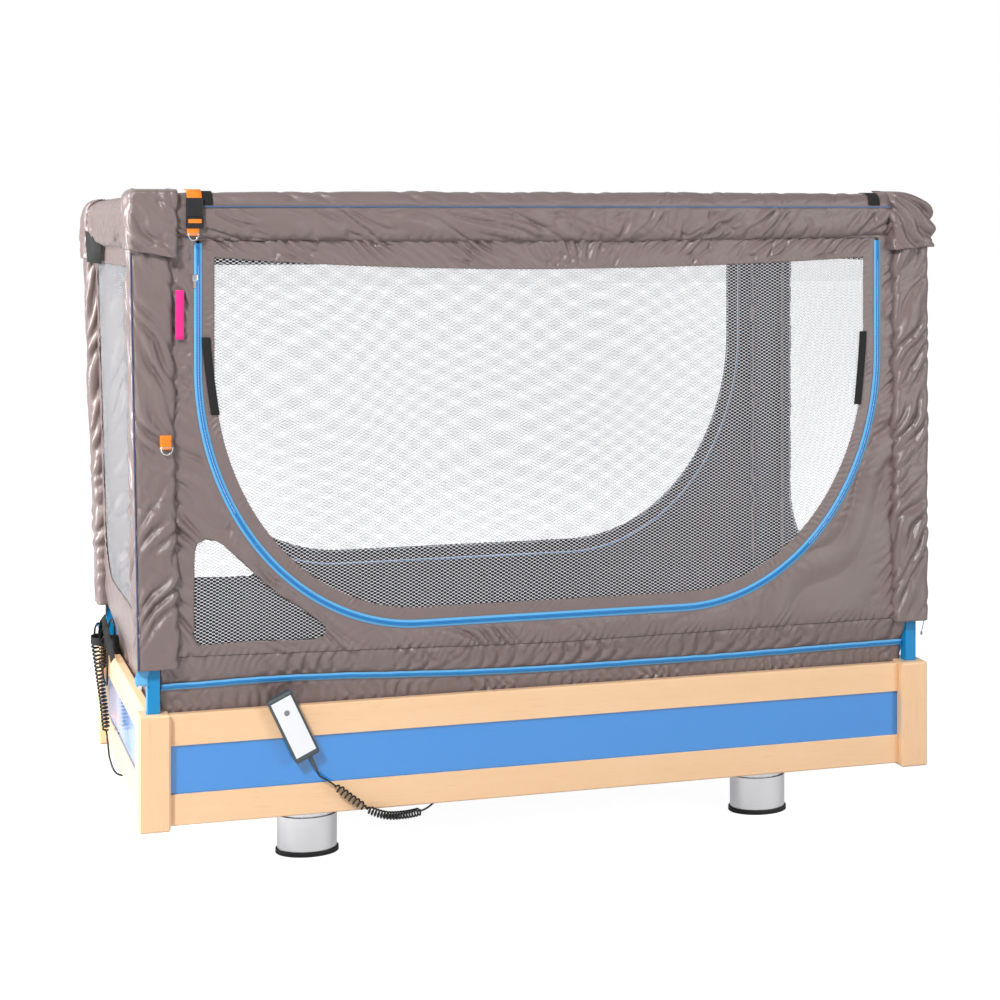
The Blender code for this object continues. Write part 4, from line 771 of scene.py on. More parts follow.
def wall_plane(z, tuck, upright):
    """Distance of a wall from the bed's middle: upright above, leaning in behind the rail below."""
    share = np.clip((z - BAND_TUCK) / (WALL_BEND - BAND_TUCK), 0.0, 1.0)
    return tuck + (upright - tuck) * share * share * (3 - 2 * share)


def on_wall(side, flat, lift):
    """Points of a long wall from flat (x, z) and a lift out of the cloth."""
    y = side * (wall_plane(flat[:, 1], TUCK_Y, WALL_Y) + lift)
    return np.column_stack([flat[:, 0], y, flat[:, 1]])


def facing(faces, side):
    """Faces as they are for a negative side, and turned over for a positive one."""
    return faces if side < 0 else faces[:, ::-1]


VENT = [(-0.940, 0.608), (-0.954, 0.617), (-0.960, 0.640), (-0.958, 0.845), (-0.950, 0.866), (-0.930, 0.874),
        (-0.905, 0.870), (-0.884, 0.857), (-0.806, 0.782), (-0.730, 0.716), (-0.645, 0.658), (-0.626, 0.643),
        (-0.620, 0.628), (-0.628, 0.613), (-0.648, 0.607), (-0.700, 0.607), (-0.800, 0.611)]
print("door line has", len(door_line()), "points")

# %% [markdown]
# ## Long walls
# Each wall runs from under the padded edge down to behind the wooden rail, with a hole for the
# door. Its folds gather at four seams: along the zip, along the seam under the vent, along the
# lower zip, and along the sleeves. On the right the cloth hangs in broad soft folds.

# %% Long walls
ZIP_SLIT = 0.004
ZIP_FLAT, ZIP_BLEND = 0.011, 0.010     # flat cloth beside a zip, and where folds grow in
SEAM_LINE = ((-1.04, 0.0, 1.04), (0.583, 0.556, 0.564))
LOWER_ZIP_LINE = ((-1.04, -0.69, -0.42, -0.10, 0.45, 1.04), (0.502, 0.508, 0.494, 0.482, 0.482, 0.491))


def level(x, line):
    """Height of a sewn line that sags between its points."""
    return np.interp(x, *line)


def under_zip(away):
    """Cloth lies flat under a zip's tape, and folds from its edge on."""
    return np.clip((away - ZIP_FLAT) / ZIP_BLEND, 0.0, 1.0)


def wall_folds(flat, seed):
    """Fold height of a long wall at flat points."""
    x, z = flat[:, 0], flat[:, 1]
    along, away = nearest(flat, resample(door_line(-ZIP_SLIT), EDGE_STEP, closed=False))
    right = np.clip((x + 0.2) / 0.5, 0.0, 1.0)
    seam, zipped = z - level(x, SEAM_LINE), z - level(x, LOWER_ZIP_LINE)
    below = np.clip(-seam / 0.01, 0.0, 1.0)
    turn = np.interp(z, (0.66, 0.85), (0.6, -0.6))
    folds = puckers(along, away, 0.028, 0.034, 0.0026, seed, slant=turn)
    folds += puckers(z, np.abs(np.abs(x) - SLEEVE_INNER), 0.036, 0.034, 0.0024, seed + 3, slant=0.8)
    folds += puckers(x, np.abs(seam), 0.022, 0.030, 0.0030, seed + 6, slant=-0.5 * np.sign(seam))
    folds += puckers(x, np.abs(zipped), 0.021, 0.024, 0.0022, seed + 9, slant=0.4)
    folds += below * puckers(x, np.abs(z - 0.525), 0.048, 0.060, 0.0060, seed + 12, slant=0.3)
    folds += puckers(x, np.abs(z - BAND_TUCK), 0.030, 0.032, 0.0036, seed + 15, slant=0.4)
    folds += (1 - right) * (1 - below) * drapes(x, z, -42, 0.042, 0.16, 0.0066, seed + 18)
    folds += right * (1 - below) * drapes(x, z, 52, 0.110, 0.30, 0.0040, seed + 21)
    folds -= 0.0016 * np.exp(-((seam / 0.006) ** 2))
    folds += billow(x, z, 0.16, 0.0020, seed + 24)
    return folds * under_zip(away) * under_zip(np.abs(zipped))


def long_wall(name, node_name, side, pitch, seed):
    low, high = WALL_HEM, CLOTH_TOP + HEADER
    outer = [(-WALL_HALF, low), (WALL_HALF, low), (WALL_HALF, high), (-WALL_HALF, high)]
    flat, faces = cut_cloth(outer, [door_line(-ZIP_SLIT), VENT], pitch)
    points = on_wall(side, flat, wall_folds(flat, seed))
    wall = add_piece(name, points, facing(faces, side), [NYLON, LINING_AND_SHADE],
                     replaces=(node_name,))
    thicken(wall)
    declare_cloth(wall, 0.24)


long_wall("front_wall_cloth", "wall_front", -1, 0.0045, 11)
long_wall("rear_wall_cloth", "wall_rear", 1, 0.0065, 51)

# %% [markdown]
# ## Doors
# The door is a border of nylon round a net pane. The cloth is cut as a ring, the net as the same
# inner line with a small lap, and both ride on the door's body, which swings on the top seam.

# %% Doors


def door_folds(flat, side, seed):
    """Fold height of a door's border at flat points."""
    x, z = flat[:, 0], flat[:, 1]
    along, away = nearest(flat, resample(door_line(ZIP_SLIT), EDGE_STEP, closed=False))
    edge, off = nearest(flat, resample(window_loop(0.0, side), EDGE_STEP))
    right = np.clip((x + 0.1) / 0.3, 0.0, 1.0)
    turn = np.interp(z, (0.66, 0.85), (-0.6, 0.6))
    header = np.clip((z - WINDOW_TOP[side] + 0.01) / 0.02, 0.0, 1.0)
    folds = (1 - header) * puckers(along, away, 0.018, 0.030, 0.0024, seed, slant=turn)
    folds += puckers(edge, off, 0.017, 0.016, 0.0014, seed + 3, slant=-turn)
    slant = 2.4 * right - 1.2
    folds += header * puckers(x, np.abs(z - CLOTH_TOP), 0.036, 0.060, 0.0046, seed + 6, slant)
    folds += header * creases(x, z, -34, 0.12, 0.016, 0.0056, seed + 9) * (1 - right)
    folds += header * creases(x, z, 50, 0.12, 0.016, 0.0056, seed + 12) * right
    deepest = -0.0012 - np.clip(off - 0.006, 0.0, None)
    return np.maximum(folds, deepest) * under_zip(away)


def window_loop(inset, side):
    """The window's edge: the door's line moved in, with a top edge that sags in the middle."""
    line = door_line(WINDOW_BORDER + inset, WINDOW_TOP[side])
    half = line[-1][0]
    top = []
    for share in np.linspace(1.0, -1.0, 31):
        rise = WINDOW_RISE[side][0] if share < 0 else WINDOW_RISE[side][1]
        top.append((half * share, WINDOW_TOP[side] - inset + rise * share * share))
    return line[1:-1] + top


def long_door(name, node_name, side, pitch, seed):
    flat, faces = cut_cloth(door_line(ZIP_SLIT), [window_loop(0.0, side)], pitch)
    points = on_wall(side, flat, door_folds(flat, side, seed))
    border = add_piece(f"{name}_border", points, facing(faces, side), [NYLON, LINING_AND_SHADE], name,
                       (node_name,))
    thicken(border)
    declare_cloth(border, 0.06)
    flat, faces = cut_cloth(window_loop(-NET_LAP, side), [], 0.04)
    pane = on_wall(side, flat, np.full(len(flat), -NET_DEPTH))
    net = add_piece(f"{name}_net", pane, facing(faces, side), [NET_LONG], name)


long_door("front_door", "front_door", -1, 0.0032, 101)
long_door("rear_door", "rear_door", 1, 0.0060, 151)
for side_name, side in SIDES:
    flat, faces = cut_cloth(VENT, [], 0.02)
    points = on_wall(side, flat, np.full(len(flat), -NET_DEPTH))
    net = add_piece(f"{side_name}_vent_net", points, facing(faces, side), [NET_LONG])
print("doors and vents made")

# %% [markdown]
# ## Corner sleeves
# Each tent leg is a square steel tube in a loose nylon sleeve, open at its hem. The sleeve is a
# rounded rectangle swept upwards. Its cloth is a little too long for the leg, so it settles into
# slanting folds: steep ones down to the right on the left leg, which turn the other way lower down,
# and bold ones up to the right on the right leg. At the head end the cover is slack, and it stands
# out further towards the top.

# %% Sleeve cloth
SLEEVE_X, SLEEVE_Y = (0.9985, 1.1045), (0.4100, 0.4990)
SLEEVE_Z = (0.556, 1.612)
SLEEVE_EDGE = 0.018
SLEEVE_FOLD = 0.0085           # deepest and highest fold
LEAN_TOP = 1.60
LEAN = (0.027, 0.015)          # at the head end's top: in the middle, and more per metre across


def lean(end, y, z):
    """How far the slack cover stands out at the head end."""
    share = np.clip((z - SLEEVE_Z[0]) / (LEAN_TOP - SLEEVE_Z[0]), 0.0, 1.0)
    return (LEAN[0] + LEAN[1] * y) * share if end < 0 else 0.0 * share


def rounded_loop(half_x, half_y, radius, step):
    """Evenly spaced points round a rounded rectangle, from the middle of its low-Y side towards +X."""
    corners = []
    for sx, sy, start in ((1, -1, -90), (1, 1, 0), (-1, 1, 90), (-1, -1, 180)):
        for turn in range(0, 91, 15):
            angle = math.radians(start + turn)
            corners.append((sx * (half_x - radius) + radius * math.cos(angle),
                            sy * (half_y - radius) + radius * math.sin(angle)))
    return resample([(0.0, -half_y), *corners], step)


def loop_normals(loop):
    """Outward directions of a loop that runs anticlockwise."""
    tangent = unit(np.roll(loop, -1, axis=0) - np.roll(loop, 1, axis=0))
    return np.column_stack([tangent[:, 1], -tangent[:, 0]])


def sleeve(name, end, side, pitch, angles, depth, seed):
    middle = np.array([end * sum(SLEEVE_X) / 2, side * sum(SLEEVE_Y) / 2])
    loop = rounded_loop((SLEEVE_X[1] - SLEEVE_X[0]) / 2, (SLEEVE_Y[1] - SLEEVE_Y[0]) / 2, SLEEVE_EDGE, pitch)
    outward = loop_normals(loop)
    run = running_length(loop)
    heights = np.arange(SLEEVE_Z[0], SLEEVE_Z[1], pitch * 1.3)
    start = run[-1] / 2 if side < 0 else 0.0
    u, v = np.meshgrid((run + start) % run[-1], heights)
    corner = np.array([end * (SLEEVE_X[1] - SLEEVE_X[0]), side * (SLEEVE_Y[1] - SLEEVE_Y[0])]) / 2
    rise = np.clip((v - SLEEVE_Z[0]) / 0.06, 0.2, 1.0)
    rise *= np.clip(np.linalg.norm(loop - corner, axis=1) / 0.034, 0.15, 1.0)
    rise *= np.clip(np.minimum(u, run[-1] - u) / 0.02, 0.0, 1.0)
    angle, low_angle = angles
    upper = np.clip((v - 0.85) / 0.25, 0.0, 1.0)
    folds = rise * upper * drapes(u, v, angle, 0.040, 0.16, depth, seed)
    folds += rise * (1 - upper) * drapes(u, v, low_angle, 0.040, 0.14, depth, seed + 9)
    folds += rise * billow(u, v, 0.10, 0.0030, seed + 3)
    folds += rise * creases(u, v, angle * 0.85, 0.14, 0.014, 0.3 * depth, seed + 6)
    folds = np.clip(folds, -SLEEVE_FOLD, SLEEVE_FOLD)
    points = np.empty((*folds.shape, 3))
    points[..., :2] = middle + loop + outward * folds[..., None]
    points[..., 0] += end * lean(end, middle[1], v)
    points[..., 2] = v
    faces = grid_faces(len(heights), len(loop), True)
    made = add_piece(name, points.reshape(-1, 3), faces, [NYLON, LINING_AND_SHADE])
    # Painted shade: sleeve faces that look into the tent, and at the foot end also those behind the end wall,
    # take the black lining finish, which stands for the shade inside the tent.
    behind_wall = np.abs(middle[1] + loop[:, 1]) < WALL_Y - 0.012
    behind_end = (middle[0] + loop[:, 0] < END_X - 0.012) & (end > 0)
    inner = behind_wall & (end * outward[:, 0] < -0.5) | behind_end & (side * outward[:, 1] < -0.5)
    made.data.polygons.foreach_set("material_index", [int(inner[face[0] % len(loop)]) for face in faces])
    thicken(made)
    declare_cloth(made, run[-1])


sleeve("head_front_sleeve", -1, -1, 0.0040, (-58, 50), 0.0074, 201)
sleeve("foot_front_sleeve", 1, -1, 0.0040, (54, 54), 0.0086, 231)
sleeve("head_rear_sleeve", -1, 1, 0.0045, (62, 40), 0.0080, 261)
sleeve("foot_rear_sleeve", 1, 1, 0.0060, (60, 60), 0.0066, 291)

# %% [markdown]
# ## Padded edges
# A foam tube is zipped round each top rail. Its section is a rounded square, fullest in the middle
# and drawn in a little at the ends. The cover is tight, so long thin creases cross it at a slant,
# and it puckers at the zip and at the seam below.

# %% Padded edges
TUBE_X, TUBE_Y = 1.060, 0.455
PAD_CENTRE, PAD_HEIGHT, PAD_DEPTH = 1.694, 0.122, 0.092
PAD_SQUARENESS, PAD_DRAW_IN = 3.2, 0.07
PAD_SAG = 0.20                 # how much more the underside hangs in the middle
PAD_RING = 104
TOP_ZIP_Z = 1.716
PAD_SEAMS = (-0.121, 0.129)    # upright seams of the plain panel in the middle
END_DROP = {-1: (0.010, 0.023), 1: (0.0, 0.0)}           # how far the slack end hangs, near and far


def pad_section(share):
    """Evenly spaced offsets across and up of a pad's section, at shares of its half length."""
    dense = np.linspace(0.0, 2 * np.pi, 4001)
    outline = [np.sign(f(dense)) * np.abs(f(dense)) ** (2 / PAD_SQUARENESS) for f in (np.cos, np.sin)]
    lengths = np.concatenate([[0.0], np.cumsum(np.hypot(*np.diff(outline, axis=1)))])
    even = np.arange(PAD_RING) / PAD_RING * lengths[-1]
    across, up = (np.interp(even, lengths, values) for values in outline)
    scale = (1 - PAD_DRAW_IN * np.abs(share) ** 6)[:, None]
    hang = 1 + PAD_SAG * (1 - share * share)[:, None] * (up < 0)
    return scale * across * PAD_DEPTH / 2, scale * hang * up * PAD_HEIGHT / 2


def pad_folds(run, across, up, seed):
    """Fold height of a padded edge. Its seams are the zip near the top and the seam below."""
    z = PAD_CENTRE + up
    right = np.clip((run + 0.1) / 0.4, 0.0, 1.0)
    around = np.where(across > 0, up, PAD_HEIGHT - up)
    folds = (1 - right) * creases(run, around, -27, 0.22, 0.019, 0.0100, seed)
    folds += right * creases(run, around, 52, 0.11, 0.019, 0.0095, seed + 3)
    folds += right * creases(run, around, 25, 0.16, 0.018, 0.0060, seed + 6)
    folds += (1 - right) * drapes(run, around, -25, 0.046, 0.16, 0.0044, seed + 18)
    folds += right * drapes(run, around, 54, 0.050, 0.12, 0.0044, seed + 21)
    folds *= np.where(z < TOP_ZIP_Z, 1.0, 0.4) * np.clip((np.abs(z - TOP_ZIP_Z) - 0.003) / 0.012, 0.0, 1.0)
    folds *= np.clip((up - up.min(axis=1, keepdims=True) - 0.003) / 0.012, 0.0, 1.0)
    slant = 1.4 * right - 0.7
    folds += puckers(run, np.abs(up + PAD_HEIGHT / 2), 0.034, 0.030, 0.0012, seed + 12, slant)
    folds -= 0.0022 * np.exp(-((z - TOP_ZIP_Z) / 0.005) ** 2) * (across > 0)
    for seam in PAD_SEAMS:
        folds -= 0.0024 * np.exp(-((run - seam) / 0.004) ** 2) * (z < TOP_ZIP_Z)
    return folds + billow(run, around, 0.11, 0.0016, seed + 15)


def padded_edge(along, sign, half_run, pitch, seed):
    """Points and faces of a padded edge round a long top rail or an end rail."""
    share = np.linspace(-1.0, 1.0, round(2 * half_run / pitch))
    across, up = pad_section(share)
    run = np.repeat(share[:, None] * half_run, PAD_RING, axis=1)
    lift = pad_folds(run, across, up, seed)
    direction = unit(np.stack([across / PAD_DEPTH ** 2, up / PAD_HEIGHT ** 2], axis=-1))
    out = sign * (across + lift * direction[..., 0])
    high = PAD_CENTRE + up + lift * direction[..., 1]
    if along == "X":
        points = np.stack([run, sign * TUBE_Y + out, high], axis=-1)
    else:
        high = high - np.interp(run, (-half_run, half_run), END_DROP[sign])
        points = np.stack([sign * (TUBE_X + lean(sign, run, high)) + out, run, high], axis=-1)
    faces = np.array(grid_faces(len(share), PAD_RING, True))
    flip = (sign > 0) == (along == "X")
    return points.reshape(-1, 3), faces if flip else faces[:, ::-1]


CAP_INNER_X, CAP_INNER_Y = 0.9845, 0.380
PAD_LAP = 0.035                # the pads' ends go into the corner caps
for name, node_name, along, sign, half_run, pitch, seed in (
        ("front_padded_edge", "pad_front", "X", -1, CAP_INNER_X + PAD_LAP, 0.0040, 309),
        ("rear_padded_edge", "pad_rear", "X", 1, CAP_INNER_X + PAD_LAP, 0.009, 311),
        ("head_padded_end", "end_cover_head", "Y", -1, CAP_INNER_Y + PAD_LAP, 0.006, 339),
        ("foot_padded_end", "end_cover_foot", "Y", 1, CAP_INNER_Y + PAD_LAP, 0.006, 341)):
    points, faces = padded_edge(along, sign, half_run, pitch, seed)
    edge = add_piece(name, points, faces, [NYLON], replaces=(node_name,))
print("four padded edges")

# %% [markdown]
# ## Corner caps
# A hood is sewn over each top corner. It is flat at the front and ends in a hem over the sleeve.
# At the head it is nearly square, and at the foot it is rounded off towards the end of the bed. Each
# hood is a stack of rounded squares that shrink near the top on their outer side. The far one at the
# head is slack like the cover there, and hangs lower.

# %% Corner caps
CAP_BOTTOM, CAP_TOP = 1.597, 1.7605
CAP_LENGTH, CAP_DEPTH, CAP_ROUND = 0.127, 0.1345, 0.015
CAP_SHOULDER = {-1: (0.026, 0.030), 1: (0.109, 0.091)}   # width and height of the oval shoulder
CAP_HEM = {-1: (-0.012, 0.012), 1: (-0.001, 0.009)}      # the hem at its inner and outer end
CAP_FOLD = {-1: 0.0055, 1: 0.0080}
FAR_SHOULDER, FAR_HEM, FAR_DROP = (0.040, 0.062), -0.042, 0.023


def corner_cap(name, end, side, seed):
    far = (end, side) == (-1, 1)
    loop = rounded_loop(CAP_LENGTH / 2, CAP_DEPTH / 2, CAP_ROUND, 0.0036)
    run = running_length(loop)
    u, v = loop[:, 0] / CAP_LENGTH + 0.5, loop[:, 1] / CAP_DEPTH + 0.5
    wide, tall = FAR_SHOULDER if far else CAP_SHOULDER[end]
    hem = CAP_HEM[end][0] + (CAP_HEM[end][1] - CAP_HEM[end][0]) * u + (FAR_HEM if far else 0.0)
    rows = []
    shares = np.concatenate([np.linspace(0.0, 0.94, 46), 1 - 0.06 * np.linspace(1.0, 0.0, 14)[1:] ** 2])
    for share in shares:
        z = CAP_BOTTOM + share * (CAP_TOP - CAP_BOTTOM)
        t = max(0.0, 1 - (CAP_TOP - z) / tall)
        reach_x = CAP_LENGTH - wide * (1 - math.sqrt(max(0.0, 1 - t * t)))
        reach_y = CAP_DEPTH * (1 - t ** 7) ** (1 / 7)
        low = z + hem * (1 - share) - (FAR_DROP * share if far else 0.0)
        rows.append(np.column_stack([CAP_INNER_X + u * reach_x, CAP_INNER_Y + v * reach_y, low]))
    points = np.array(rows)
    across, high = run[None, :] + 0 * points[..., 2], points[..., 2]
    lift = drapes(across, high, 50 * end, 0.050, 0.12, CAP_FOLD[end], seed)
    lift += creases(across, high, 42 * end, 0.10, 0.016, 0.0045, seed + 5)
    lift *= np.clip(np.minimum(across, run[-1] - across) / 0.02, 0.0, 1.0)
    lift -= 0.0012 * np.exp(-((shares[:, None] - 0.08) / 0.025) ** 2)
    fade = np.clip((CAP_TOP - high) / 0.03, 0.0, 1.0)
    points[..., :2] += loop_normals(loop) * (lift * fade)[..., None]
    points[..., 1] *= side
    points[..., 0] = end * (points[..., 0] + lean(end, points[..., 1], points[..., 2]))
    faces = np.array(grid_faces(len(rows), len(loop), True))
    made = add_piece(name, points.reshape(-1, 3), facing(faces, -end * side), [NYLON, LINING_AND_SHADE])
    thicken(made, 0.0018)
    declare_cloth(made, 0.24)


for end_name, end in ENDS:
    for side_name, side in SIDES:
        corner_cap(f"{end_name}_{side_name}_cap", end, side, 400 + 7 * end + 3 * side)

# %% [markdown]
# ## End walls and roof
# The ends are cut like the long walls, with a net window that has rounded corners. The roof is one
# sheet between the padded edges that sags a little in the middle.

# %% End walls and roof
END_HALF = 0.436
WINDOW_HALF, WINDOW_FOOT, WINDOW_HEAD, WINDOW_ROUND = 0.360, 0.660, 1.560, 0.150


def end_window(inset):
    """Outline of an end window, with rounded lower corners."""
    half, round_ = WINDOW_HALF - inset, WINDOW_ROUND - inset
    foot, head = WINDOW_FOOT + inset, WINDOW_HEAD - inset
    lower = []
    for step in range(13):
        angle = math.pi / 2 * step / 12
        lower.append((half - round_ + round_ * math.sin(angle), foot + round_ * (1 - math.cos(angle))))
    return [(-y, z) for y, z in reversed(lower)] + lower + [(half, head), (-half, head)]


def on_end(end, flat, lift):
    """Points of an end wall from flat (y, z) and a lift out of the cloth."""
    x = wall_plane(flat[:, 1], END_TUCK_X, END_X)
    return np.column_stack([end * (x + lift + lean(end, flat[:, 0], flat[:, 1])), flat[:, 0], flat[:, 1]])


for end_name, end in ENDS:
    low, high = WALL_HEM, CLOTH_TOP + HEADER
    outer = [(-END_HALF, low), (END_HALF, low), (END_HALF, high), (-END_HALF, high)]
    flat, faces = cut_cloth(outer, [end_window(0.0)], 0.006)
    y, z = flat[:, 0], flat[:, 1]
    along, away = nearest(flat, resample(end_window(0.0), EDGE_STEP))
    lift = puckers(along, away, 0.028, 0.025, 0.0016, 501) + drapes(y, z, 40, 0.09, 0.3, 0.0018, 505)
    lift += puckers(y, np.abs(z - BAND_TUCK), 0.04, 0.04, 0.0028, 509)
    wall = add_piece(f"{end_name}_wall_cloth", on_end(end, flat, lift), facing(faces, -end),
                     [NYLON, LINING_AND_SHADE], replaces=(f"wall_{end_name}",))
    thicken(wall)
    declare_cloth(wall, 0.20)
    flat, faces = cut_cloth(end_window(-NET_LAP), [], 0.03)
    net = add_piece(f"{end_name}_net", on_end(end, flat, np.full(len(flat), -NET_DEPTH)),
                    facing(faces, -end), [NET_END])

ROOF_HALF = (1.012, 0.407)
ROOF_Z, ROOF_SAG = 1.706, 0.030
ROOF_ROWS, ROOF_COLUMNS = 70, 170
x, y = np.meshgrid(np.linspace(-1, 1, ROOF_COLUMNS), np.linspace(-1, 1, ROOF_ROWS))
sag = ROOF_SAG * (1 - x * x) * (1 - y * y)
ripple = drapes(ROOF_HALF[0] * x, ROOF_HALF[1] * y, 20, 0.10, 0.5, 0.0025, 601) * (1 - x ** 8) * (1 - y ** 8)
sheet = np.stack([ROOF_HALF[0] * x, ROOF_HALF[1] * y, ROOF_Z - sag + ripple], axis=-1)
faces = grid_faces(ROOF_ROWS, ROOF_COLUMNS, False)
roof = add_piece("roof_cloth", sheet.reshape(-1, 3), faces, [NYLON, LINING_AND_SHADE],
                 replaces=("roof",))
thicken(roof)
declare_cloth(roof, 0.83)

# %% [markdown]
# ## Zips
# A coil zip is two tapes with a coil along each inner edge. Each half is a ribbon of several
# strips: the coil's strips are dark blue, the tape's are light blue, and the ribbon rises towards
# the coil. The door's half rides on the door and the wall's half on the bed, so the zip parts when
# the door swings.

# %% Zips
ZIP_STEPS = (0.0003, 0.0022, 0.0046, 0.0052, 0.0078, 0.0102)
ZIP_RISE = (0.0052, 0.0058, 0.0046, 0.0036, 0.0034, 0.0018)
COIL_STRIPS = 2
ZIP_TOP_ROOM = 0.006           # from the top seam down to the door zips' upper ends


def strips(name, rows, coil_strips, body="bed", finishes=(ZIP_COIL, ZIP_TAPE), flip=False):
    """A ribbon from rows of points. The first strips take the first finish, the rest the second."""
    rows = np.array(rows)
    faces = grid_faces(len(rows), rows.shape[1], False)
    if flip:
        faces = [face[::-1] for face in faces]
    made = add_piece(name, rows.reshape(-1, 3), faces, finishes, body)
    per_strip = rows.shape[1] - 1
    indices = [0 if index // per_strip < coil_strips else 1 for index in range(len(faces))]
    made.data.polygons.foreach_set("material_index", indices)
    return made


def door_zip(name, side, sign, body):
    """Half of a door's zip: the door's half is inside the line, the wall's half outside it."""
    rows = []
    for step, rise in zip(ZIP_STEPS, ZIP_RISE):
        line = np.array(door_line(sign * step, CLOTH_TOP - ZIP_TOP_ROOM, steps=90))
        rows.append(on_wall(side, line, np.full(len(line), rise)))
    return strips(name, rows, COIL_STRIPS, body, flip=sign * side > 0)


for side_name, side in SIDES:
    door_zip(f"{side_name}_zip_on_door", side, 1, f"{side_name}_door")
    door_zip(f"{side_name}_zip_on_wall", side, -1, "bed")


def level_zip(name, side, line, half_run, scale):
    """A closed zip along the bed: both halves in one ribbon, folded a little by the cloth."""
    x = np.linspace(-half_run, half_run, 400)
    z = np.convolve(np.pad(level(x, line), 30, mode="edge"), np.ones(61) / 61, mode="valid")
    wave = 0.0014 * noise(x / 0.05, 0 * x + 3.3, 701 + side)
    both = [(-step, rise) for step, rise in zip(reversed(ZIP_STEPS), reversed(ZIP_RISE))]
    both += list(zip(ZIP_STEPS, ZIP_RISE))
    rows = []
    for step, rise in both:
        flat = np.column_stack([x, z + scale * step + wave])
        rows.append(on_wall(side, flat, rise + 0.002 + wave))
    made = strips(name, rows, 0, flip=side > 0)
    per_strip = len(x) - 1
    middle = range(len(ZIP_STEPS) - COIL_STRIPS - 1, len(ZIP_STEPS) + COIL_STRIPS)
    indices = [0 if index // per_strip in middle else 1 for index in range(per_strip * (len(both) - 1))]
    made.data.polygons.foreach_set("material_index", indices)


for side_name, side in SIDES:
    level_zip(f"{side_name}_lower_zip", side, LOWER_ZIP_LINE, WALL_HALF - 0.001, 0.85)


def seam_shade_strip(name, side, seed):
    """A dark strip along the sewn line under the door, sunk between the wall's folds: painted shade of the
    seam's groove.
    """
    x = np.linspace(-SLEEVE_INNER, SLEEVE_INNER, 500)
    flat = np.column_stack([x, level(x, SEAM_LINE)])
    lift = wall_folds(flat, seed) + 0.0007
    rows = [on_wall(side, flat + np.array((0.0, rise)), lift) for rise in (0.0011, -0.0011)]
    strips(name, rows, 1, finishes=(SEAM_SHADE,), flip=side > 0)


seam_shade_strip("front_seam_shade", -1, 11)
seam_shade_strip("rear_seam_shade", 1, 51)


def pad_front(z):
    """How far the padded edge stands out at a height."""
    up = np.abs(z - PAD_CENTRE) / (PAD_HEIGHT / 2)
    return PAD_DEPTH / 2 * (1 - up ** PAD_SQUARENESS) ** (1 / PAD_SQUARENESS)


x = np.linspace(-0.985, 0.985, 300)
for side_name, side in SIDES:
    out = side * (TUBE_Y + pad_front(TOP_ZIP_Z) + 0.0006)
    rows = []
    for rise in (0.0019, -0.0019):
        rows.append(np.column_stack([x, np.full(len(x), out), np.full(len(x), TOP_ZIP_Z + rise)]))
    strips(f"{side_name}_top_zip", rows, 1, finishes=(ZIP_GREY,), flip=side > 0)
print("zips made")

# %% [markdown]
# ## Frame, wood and columns
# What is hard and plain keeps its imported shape. A Weld and a Bevel modifier soften its edges, and
# it takes its finish. The oval column tubes are turned anew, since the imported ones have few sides.
# Each base tube holds a guide mast, on which the middle tube slides when the bed rises.

# %% Hard pieces
ROUND_STEPS = 96
OVAL = 0.75                    # a column's width across the bed over its width along it
COLUMN_WALL = 0.004


def dress(name, material, bevel=0.0015):
    """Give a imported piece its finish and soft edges."""
    piece = nodes[name]
    piece.data.materials.clear()
    piece.data.materials.append(material)
    weld = piece.modifiers.new("weld", "WELD")
    weld.merge_threshold = 0.00005
    if bevel:
        soft_edge = piece.modifiers.new("soft_edges", "BEVEL")
        soft_edge.width = bevel
        soft_edge.segments = 2
        soft_edge.limit_method = "ANGLE"
        soft_edge.angle_limit = math.radians(40)


def turned(name, profile, at, material, body, replaces=()):
    """An oval turned shape from a profile of radius and height."""
    angles = 2 * np.pi * np.arange(ROUND_STEPS) / ROUND_STEPS
    rows = [np.column_stack([at[0] + r * np.cos(angles), at[1] + OVAL * r * np.sin(angles),
                             np.full(ROUND_STEPS, z)]) for r, z in profile]
    faces = grid_faces(len(rows), ROUND_STEPS, True)
    made = add_piece(name, np.concatenate(rows), faces, [material], body, replaces)
    edge = made.modifiers.new("edges", "EDGE_SPLIT")
    edge.split_angle = math.radians(35)
    return made


for end_name, _ in ENDS:
    for side_name, _ in SIDES:
        corner = f"{end_name}_{side_name}"
        low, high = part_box(f"column_foot_{corner}")
        at = (low + high) / 2
        turned(f"{corner}_foot_ring", [
            (0.002, 0.0002), (0.0840, 0.0002), (0.0852, 0.0012), (0.0852, 0.0048), (0.0832, 0.0054),
            (0.0832, 0.0074), (0.0850, 0.0080), (0.0850, 0.0118), (0.0838, 0.0129), (0.0806, 0.0129)],
            at, RUBBER, "base", (f"column_foot_{corner}",))
        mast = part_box(f"column_base_{corner}")[1].z
        turned(f"{corner}_base_tube", [
            (0.0803, 0.0045), (0.0803, 0.1020), (0.0793, 0.1030), (0.0765, 0.1030), (0.0763, 0.1020),
            (0.0763, 0.0085), (0.0662, 0.0085), (0.0662, mast - 0.001), (0.0652, mast), (0.0010, mast)],
            at, ALUMINIUM, "base", (f"column_base_{corner}",))
        low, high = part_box(f"column_tube_{corner}")
        radius = (high.x - low.x) / 2
        inner = radius - COLUMN_WALL
        turned(f"{corner}_middle_tube", [
            (radius, low.z), (radius, high.z), (inner, high.z), (inner, low.z), (radius, low.z)],
            at, ALUMINIUM, "lift_tubes", (f"column_tube_{corner}",))
        dress(f"post_{corner}", BEECH["Z"], 0.002)
    for part, material in (("upper_rail", BEECH["Y"]), ("lower_rail", BEECH["Y"]), ("panel", PANEL)):
        dress(f"{end_name}_{part}", material)
    dress(f"tent_hoop_{end_name}", TUBE_PAINT, 0.003)
    dress(f"cross_beam_{end_name}", ALUMINIUM, 0.0)
